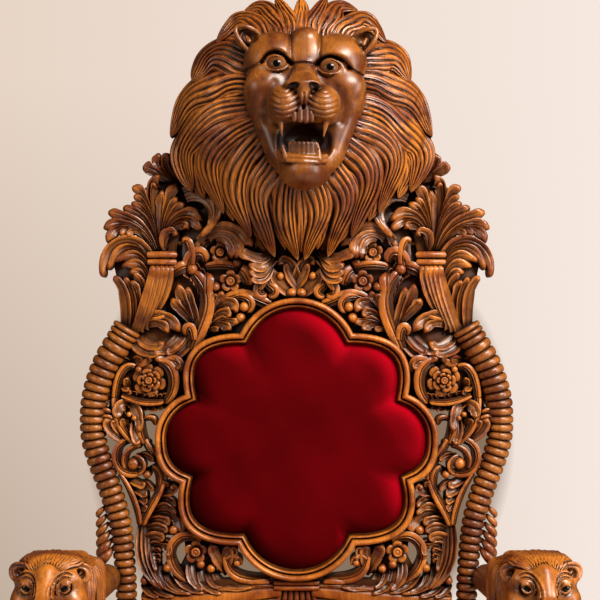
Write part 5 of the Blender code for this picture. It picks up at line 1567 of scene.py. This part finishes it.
def arm_tufts(shells, head, body, rng):
    """Mane over the head and down the neck, and a few long locks along the arm."""
    for k in range(11):
        s = (k - 5) / 5
        fall = (6 if s < 0 else 16) * s * s
        hair(shells, head, [(s * 20, 24 + 4.5 * s * s, 300), (s * 42 + 4, 42 - 0.8 * fall, 270),
                            (s * 54 + 7, 42 - fall, 212)], 20, 4, rng, height=1.3)
        hair(shells, body, [(s * 46 + 6, 40 - fall, 250), (s * 50 + 8, 34 - fall, 210),
                            (s * 48 + 8, 12 - fall, 150)], 20, 4, rng)
    for row in range(6):
        u = 60 + 3.5 * (row % 3)
        w = 262 - 19 * row
        hair(shells, body, [(u, 34, w), (u + 8, 6, w - 6), (u + 2, -34, w - 4),
                            (u + 4, -70, w - 10)], 22, 4, rng, height=1.4)
        hair(shells, body, [(u - 4, -40, w - 8), (u, -70, w - 12), (u - 8, -104, w - 10),
                            (u - 12, -128, w - 12)], 22, 4, rng, height=1.4)
    for row in range(7):
        v = 22 - 20 * row
        hair(shells, body, [(-60, v, 262 - 3 * row), (-66, v - 14, 226),
                            (-58, v - 34, 178 - 4 * row)], 22, 5, rng)
    for side in (-1, 1):
        for row in range(5):
            v = -4 - 16 * row
            hair(shells, body, [(side * 60, v, 205), (side * 56, v - 22, 150),
                                (side * 42, v - 26 + 4 * row, 86)], 20, 4, rng)
        for row in range(3):
            hair(shells, body, [(side * 30, -30 - 16 * row, 110), (side * 34, -48 - 12 * row, 50),
                                (side * 30, -66 - 8 * row, -20)], 16, 3, rng)
        hair(shells, body, [(side * 26, -110, 290), (side * 40, -118, 250),
                            (side * 34, -126, 196)], 20, 4, rng)
    for row in range(4):
        s = (row - 1.5) / 1.5
        hair(shells, body, [(s * 16, -10, 190), (s * 18, -22, 120), (s * 14 + 4, -36, 40)], 15, 4, rng)
        hair(shells, body, [(s * 12 + 5, -30, 60), (s * 12 + 10, -46, -20),
                            (s * 10 + 14, -52, -110)], 12, 3, rng)


def leaf_stack(shells):
    """Slim slanting leaves wound up the outer side of the horn, above the arm, to a point."""
    foot_x, foot_y, foot_z = -0.3630, 0.220, 0.778
    t = np.linspace(0, 1, 20)
    turn = np.radians(-70 + 200 * t)
    for step in range(6):
        size = 1 - 0.09 * step
        x, z = foot_x - 0.0020 * step, foot_z + 0.0175 * step
        row = join(x - 0.0125 * size * np.sin(turn), foot_y - 0.018 * size * np.cos(turn),
                   z + 0.020 * size - 0.044 * t * size)
        radius = 0.0092 * size * np.sin(np.pi * np.clip(t * 0.92 + 0.06, 0, 1)) ** 0.9 + 0.0008
        shells.add(free_sweep(row, radius, around=12), 0.85)


def arm_shells():
    """One arm; its head is modelled on a finer grid than the rest."""
    rng = random.Random(5)
    head = Clay((-74, -132, 176), (80, 66, 378), 1.7, ARM_MIDDLE)
    body = Clay((-74, -142, -196), (80, 66, 300), 3.0, ARM_MIDDLE)
    model_arm_head(head)
    model_arm_body(body)
    floor = (ARM_FLOOR_Z - ARM_MIDDLE[2]) / MM + 0.6
    for clay in (head, body):
        clay.block((0, floor - 60, 100), (120, 60, 400), 0.5, soft=0.6, cut=True)
    head.block((0, 0, 130), (120, 120, 60), 0.5, soft=0.6, cut=True)
    shells = Shells()
    head.give(shells, brightness=0.88)
    body.give(shells, steps=(5.0, 10.0, 18.0), brightness=0.58)
    arm_tufts(shells, head, body, rng)
    leaf_stack(shells)
    return shells


def make_arms():
    """The two arms, one the mirror image of the other, and their lions' eyes."""
    shells = arm_shells()
    for side, mirror in SIDES:
        carve(shells, "arm_lion_" + side, "arm_" + side, mirror, 70, most=100000)
        way = 1 if mirror else -1
        for place, (u, v, w) in ARM_HEAD_EYES.items():
            centre = (way * (ARM_X - u * MM), -w * MM, ARM_MIDDLE[2] + v * MM)
            eye = eye_ball("arm_lion_eye_%s_%s" % (side, place), centre, ARM_EYE_RADIUS, (0, 1, 0.1))
            dress(eye, DARK_EYE, "arm_eye_%s_%s" % (side, place))


make_arms()


# ---------------------------------------------------------------- front legs, rails and seat

LEG_MIDDLE = (-ARM_X, -0.280, 0.350)


def model_leg(clay):
    """A lion's foreleg: shoulder, knee and a paw of four clawed toes, cut flat above and below."""
    limb = [(0, 368, -42), (0, 290, -30), (0, 190, -8), (0, 70, 12), (0, -50, 22), (0, -170, 26),
            (0, -262, 26), (0, -325, 32)]
    clay.bar(limb, (46, 45, 40, 37, 32, 26, 26, 30), soft=10)
    for side in (-1, 1):
        clay.ball((side * 20, 190, -8), (24, 80, 30), soft=14)
        clay.ball((side * 14, 20, 22), (20, 60, 20), soft=12)
    clay.ball((0, -50, 44), (20, 26, 14), soft=10)
    clay.ball((0, 100, -42), (16, 60, 18), soft=12)
    clay.ball((0, -322, 52), (43, 30, 50), soft=10)
    for toe in range(4):
        u = (toe - 1.5) * 21
        w = 90 - 8 * abs(toe - 1.5)
        clay.bar([(u * 0.75, -306, w - 34), (u, -318, w - 6), (u, -336, w + 6)], (11, 12, 10.5), soft=4)
        clay.bar([(u, -330, w + 13), (u, -344, w + 18)], (4.0, 1.5), soft=1)
    for toe in range(3):
        u = (toe - 1) * 21
        clay.groove([(u * 0.9, -304), (u, -350)], 5, 3.2, front=30)
    for v in (-410, 410):
        clay.block((0, v, 0), (150, 60, 150), 0.5, soft=0.6, cut=True)


def leg_tufts(shells, clay, rng):
    """Fur: locks down the shoulder, a tuft behind the elbow and short hair over the paw."""
    for row in range(4):
        for k in range(-2, 3):
            v = 330 - 62 * row - 8 * abs(k)
            hair(shells, clay, [(k * 17, v, 20), (k * 17.5, v - 36, 24 + 3 * row),
                                (k * 16, v - 72, 26 + 5 * row)], 18, 4, rng)
    for side in (-1, 1):
        for row in range(5):
            v = 300 - 54 * row
            hair(shells, clay, [(side * 40, v, -18), (side * 44, v - 34, -24),
                                (side * 36, v - 74, -34)], 20, 4, rng)
    for row in range(6):
        for side in (-1, 0, 1):
            v = 290 - 74 * row
            hair(shells, clay, [(side * 20, v, -60), (side * 18, v - 36, -56),
                                (side * 12, v - 78, -48)], 18, 3, rng)
    for k in range(-2, 3):
        hair(shells, clay, [(k * 9, -246, 60), (k * 12, -276, 66), (k * 15, -300, 78)], 10, 3, rng)


def make_front_legs():
    """The two forelegs, one the mirror image of the other."""
    rng = random.Random(3)
    clay = Clay((-58, -352, -96), (58, 352, 114), 2.6, LEG_MIDDLE)
    model_leg(clay)
    shells = Shells()
    clay.give(shells, steps=(4.0, 9.0, 16.0))
    leg_tufts(shells, clay, rng)
    for side, mirror in SIDES:
        carve(shells, "lion_foreleg_" + side, "front_leg_" + side, mirror, 60, most=50000)


PLANK_ROUNDING = 0.005


def plank(node):
    """A straight board with rounded edges, filling the box of the node it stands for."""
    shape = bmesh.new()
    bmesh.ops.create_cube(shape, size=1.0)
    low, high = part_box(node)
    for vert in shape.verts:
        vert.co = Vector([a + (b - a) * (c + 0.5) for a, b, c in zip(low, high, vert.co)])
    bmesh.ops.bevel(shape, geom=shape.edges[:], offset=PLANK_ROUNDING, segments=3, profile=0.5,
                    affect="EDGES")
    mesh = mesh_of(shape, node + "_wood")
    mesh.shade_smooth()
    mesh.set_sharp_from_angle(angle=math.radians(40))
    dress(new_object(node + "_wood", mesh), PLAIN, node)


# The front rail: its lower edge from left to right and its top in mm, its depths in metres, and
# the fingers of its acanthus as (root and tip from the middle, rise of the tip, width) in mm
APRON_EDGE = [(-354, 298), (-300, 285), (-230, 300), (-160, 275), (-80, 262), (0, 240),
              (80, 262), (160, 275), (230, 300), (300, 285), (354, 298)]
APRON_TOP = 430.0
APRON_FACE_Y, APRON_REAR_Y = -0.3180, -0.2820
APRON_FINGERS = [(0, 292, 14, 15), (12, 262, 30, 14), (22, 226, 44, 14), (30, 186, 56, 13),
                 (34, 142, 66, 13), (30, 96, 74, 12), (22, 56, 80, 12)]
APRON_BOSS_UP = 342


def apron_finger(shells, side, rank, root, tip, lift, width):
    """One long finger of the acanthus, lying on the rail."""
    points = [(side * root, 330 - 4 * rank), (side * (root + 0.35 * (tip - root)), 322 + lift * 0.2),
              (side * (root + 0.75 * (tip - root)), 330 + lift * 0.5), (side * tip, 338 + lift * 0.7)]
    path = smooth_line(points, 24)
    t = np.linspace(0, 1, 24)
    swell = 0.35 + 0.65 * np.sin(np.pi * np.clip(t * 0.75 + 0.2, 0, 1))
    radius = 0.5 * width * swell * np.sqrt(1 - 0.995 * t ** 8)
    world = join(path[:, 0] * MM, APRON_FACE_Y - 0.0010 - 0.0015 * np.sin(np.pi * t), path[:, 1] * MM)
    shells.add(round_sweep(world, radius * MM, around=10, squash=0.6), 0.9)


def make_front_rail():
    """The front rail: a shaped apron with a rounded lower edge and an acanthus carved on it."""
    shells = Shells()
    x, low = smooth_line(APRON_EDGE, 90).T
    rows = []
    for share, y in ((0.0, -0.3120), (0.06, -0.3176), (0.5, APRON_FACE_Y), (0.97, APRON_FACE_Y),
                     (1.0, -0.3160)):
        rows.append(join(x * MM, y, (low + (APRON_TOP - low) * share) * MM))
    for z in (APRON_TOP, low):
        rows.append(join(x * MM, APRON_REAR_Y, z * MM))
    shells.add(np.stack(rows, axis=1), 0.75)
    shells.add(round_sweep(join(x * MM, -0.3170, (low + 7) * MM), 0.0065, around=10), 1.0)
    for side in (-1, 1):
        for rank, finger in enumerate(APRON_FINGERS):
            apron_finger(shells, side, rank, *finger)
    turn = circle(24)
    for radius, y in ((22, -0.3225), (11, -0.3260)):
        rings = []
        for share, rise in ((1.0, 0.006), (0.98, 0.002), (0.7, 0.0), (0.1, 0.0015)):
            rings.append(join(radius * share * np.cos(turn) * MM, y + rise,
                              (APRON_BOSS_UP + radius * share * np.sin(turn)) * MM))
        # Painted shade round the boss's foot
        shells.add(np.array(rings), np.array([0.0, 0.6, 1.0, 1.0])[:, None])
    carve(shells, "apron_rail", "front_rail")


def make_lower_collar():
    """The small fluted collar between the medallion and the lower rail."""
    shells = Shells()
    bow = 0.0030 * (1 - np.linspace(-1, 1, 24) ** 2)
    for z in (0.7315, 0.7215):
        band = join(np.linspace(-0.0425, 0.0425, 24), 0.2060 - bow, z)
        shells.add(round_sweep(band, 0.0050, around=12), 1.0)
    t = np.linspace(0, 1, 12)
    for k in range(-3, 4):
        flute = join(k * 0.0105 * (1 + 0.12 * t), 0.2115 + 0.002 * t, 0.7180 - 0.0255 * t)
        shells.add(round_sweep(flute, 0.0056 * np.sqrt(1 - 0.9 * (2 * t - 1) ** 8), around=10), 0.9)
    core = join(np.linspace(-0.041, 0.041, 6), 0.2290, 0.7140)
    # A dark core behind the flutes, its tone painted shade
    shells.add(round_sweep(core, 0.0210, around=16, squash=0.75), 0.1)
    carve(shells, "fluted_collar", "lower_collar")


CUSHION_GRID = 57, 49
CUSHION_GAP, CUSHION_TAPER = 0.003, 0.043
SEAM_SHARE, SEAM_THICKNESS = 0.42, 0.0008
CORD_RADIUS = 0.0030


def plump(share):
    """How full the stuffing is at a share of the way from the middle to an edge."""
    return np.sqrt(np.clip(1 - np.abs(share) ** 4.5, 0, 1))


def cushion_surfaces():
    """The points of the cushion's upper and lower side, narrowing toward the back."""
    low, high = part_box("seat_cushion")
    s, d = [np.sin(np.linspace(-np.pi / 2, np.pi / 2, steps)) for steps in CUSHION_GRID]
    s, d = s[:, None], d[None, :]
    width = 0.5 * (high.x - low.x) - CUSHION_GAP - CUSHION_TAPER * np.clip(0.5 * d + 0.38, 0, 1)
    corner = 0.012 * (np.abs(s) * np.abs(d)) ** 8
    x = s * width * (1 - corner * 3)
    y = 0.5 * (low.y + high.y) + 0.5 * (high.y - low.y - 2 * CUSHION_GAP) * d - np.sign(d) * corner
    inside = plump(s) * plump(d)
    crown = 1 - 0.35 * (s ** 2 + d ** 2) / 2
    thick = high.z - low.z - 0.002
    creases = 0.0015 * np.sin(8 * s + 3 * d) * np.sin(6 * d + 2 * s) * inside
    top = low.z + 0.001 + thick * (SEAM_SHARE + (1 - SEAM_SHARE) * inside * crown) + creases
    under = low.z + 0.001 + thick * (SEAM_SHARE - SEAM_SHARE * np.clip(inside * 1.6, 0, 1))
    return join(x, y, top).reshape(-1, 3), join(x, y, under - SEAM_THICKNESS).reshape(-1, 3)


def make_cushion():
    """The loose velvet cushion: flat below, plump above, with a corded seam round its side."""
    upper, lower = cushion_surfaces()
    total = len(upper)
    index = np.arange(total).reshape(CUSHION_GRID)
    quads = np.stack([index[:-1, :-1], index[1:, :-1], index[1:, 1:], index[:-1, 1:]], axis=-1)
    quads = quads.reshape(-1, 4)
    edge = np.concatenate([index[:, 0], index[-1, 1:], index[-2::-1, -1], index[0, -2:0:-1]])
    following = np.roll(edge, -1)
    sides = np.stack([edge, following, following + total, edge + total], axis=-1)
    faces = np.concatenate([quads, quads[:, ::-1] + total, sides])
    shells = Shells()
    shells.add_mesh(np.concatenate([upper, lower]), faces, np.ones(2 * total))
    cord = upper[np.append(edge, edge[:2])][::2] * [0.998, 0.998, 1]
    shells.add(free_sweep(cord, CORD_RADIUS), 1.0)
    cushion = shells.build("seat_velvet", sharp=80)
    dress(cushion, VELVET, "seat_cushion")


make_front_legs()
make_front_rail()
make_lower_collar()
for node in ("rear_rail", "lower_back_rail"):
    plank(node)
make_cushion()


# ---------------------------------------------------------------- camera, lights and floor

CAMERA_PLACE = (0.0066, -2.40, 1.27)
CAMERA_SENSOR, CAMERA_LENS = 36.0, 82.1
# Each light: name, place, point it faces, size, power, colour
LIGHTS = [
    ("key", (1.3, -1.7, 3.0), (0, 0.1, 1.3), (1.2, 0.8), 108, (1.0, 0.92, 0.83)),
    ("window", (2.5, -1.3, 1.7), (0, 0.1, 1.3), (0.8, 1.8), 39, (1.0, 0.94, 0.88)),
    ("fill", (-2.4, -1.9, 2.0), (0, 0.1, 1.2), (0.9, 1.4), 17, (1.0, 0.91, 0.82)),
]
WALL_LOW, WALL_HIGH, WALL_LIT = (0.50, 0.385, 0.300), (0.80, 0.660, 0.560), (0.925, 0.81, 0.74)
WALL_SHADOW = (0.25, 0.170, 0.112)
ROOM_GLOW = (0.100, 0.068, 0.046)
FLOOR_COLOUR = (0.62, 0.56, 0.50)
FLOOR_RADIUS, FLOOR_DROP = 2.4, 0.0006


def set_camera():
    """The camera stands level, in front of the back's middle."""
    camera = new_object("camera", bpy.data.cameras.new("camera"))
    camera.data.sensor_width = CAMERA_SENSOR
    camera.data.lens = CAMERA_LENS
    camera.location = CAMERA_PLACE
    camera.rotation_euler = (math.radians(90), 0, 0)
    bpy.context.scene.camera = camera


def area_light(name, place, aim, size, power, colour):
    """A rectangular light at a place, facing a point."""
    lamp = bpy.data.lights.new(name, "AREA")
    lamp.shape = "RECTANGLE"
    lamp.size, lamp.size_y = size
    lamp.energy = power
    lamp.color = colour
    item = new_object(name, lamp)
    item.location = place
    item.rotation_euler = (Vector(aim) - Vector(place)).to_track_quat("-Z", "Y").to_euler()


def set_room():
    """A pale wall, with painted light making it brighter to the right and above, and a painted soft shadow
    of the throne on it.
    """
    world = bpy.data.worlds.new("room")
    world.use_nodes = True
    tree = world.node_tree
    direction = add_node(tree, "ShaderNodeTexCoord").outputs["Generated"]
    way = add_node(tree, "ShaderNodeSeparateXYZ", {"Vector": direction}).outputs
    side = math_node(tree, "MULTIPLY_ADD", way["X"], 2.3, 0.5, clamp=True)
    height = math_node(tree, "MULTIPLY_ADD", way["Z"], 2.4, 0.62, clamp=True)
    left = mix(tree, height, WALL_LOW, WALL_HIGH)
    wall = mix(tree, side, left, WALL_LIT)
    # A painted soft shadow of the throne on the wall close behind it, seen through the pierced carving
    spread = math_node(tree, "DIVIDE", way["X"], 0.150)
    rise = math_node(tree, "DIVIDE", math_node(tree, "ADD", way["Z"], 0.095), 0.160)
    squares = [math_node(tree, "MULTIPLY", part, part) for part in (spread, rise)]
    reach = math_node(tree, "ADD", *squares)
    beyond = math_node(tree, "MULTIPLY_ADD", reach, 4.5, -3.8, clamp=True)
    behind = math_node(tree, "LESS_THAN", way["Y"], 0.0)
    lit = math_node(tree, "MAXIMUM", beyond, behind)
    wall = mix(tree, lit, WALL_SHADOW, wall)
    camera_ray = add_node(tree, "ShaderNodeLightPath").outputs["Is Camera Ray"]
    feed(tree, tree.nodes["Background"], {"Color": mix(tree, camera_ray, ROOM_GLOW, wall)})
    bpy.context.scene.world = world
    bpy.context.scene.view_settings.view_transform = "Standard"


def set_floor():
    """A round floor, a hair below the feet."""
    shape = bmesh.new()
    bmesh.ops.create_circle(shape, cap_ends=True, segments=96, radius=FLOOR_RADIUS)
    floor = new_object("floor", mesh_of(shape, "floor"))
    floor.location = (0, 0, -FLOOR_DROP)
    look, tree, shader = nodes_of("floor")
    feed(tree, shader, {"Base Color": FLOOR_COLOUR, "Roughness": 0.8})
    floor.data.materials.append(look)


def finish_nodes():
    """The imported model's own parts that still show get the looks of their slots."""
    slot_looks = {"carved_wood": PLAIN, "backing_wood": BACKING, "velvet": VELVET}
    slots = {row["node"]: row["material_slot"] for row in frame["record"]["subparts"]}
    for node, item in frame["nodes"].items():
        if not item.hide_render:
            item.data.materials.clear()
            item.data.materials.append(slot_looks.get(slots[node], PLAIN))


set_camera()
for light in LIGHTS:
    area_light(*light)
set_room()
set_floor()
finish_nodes()
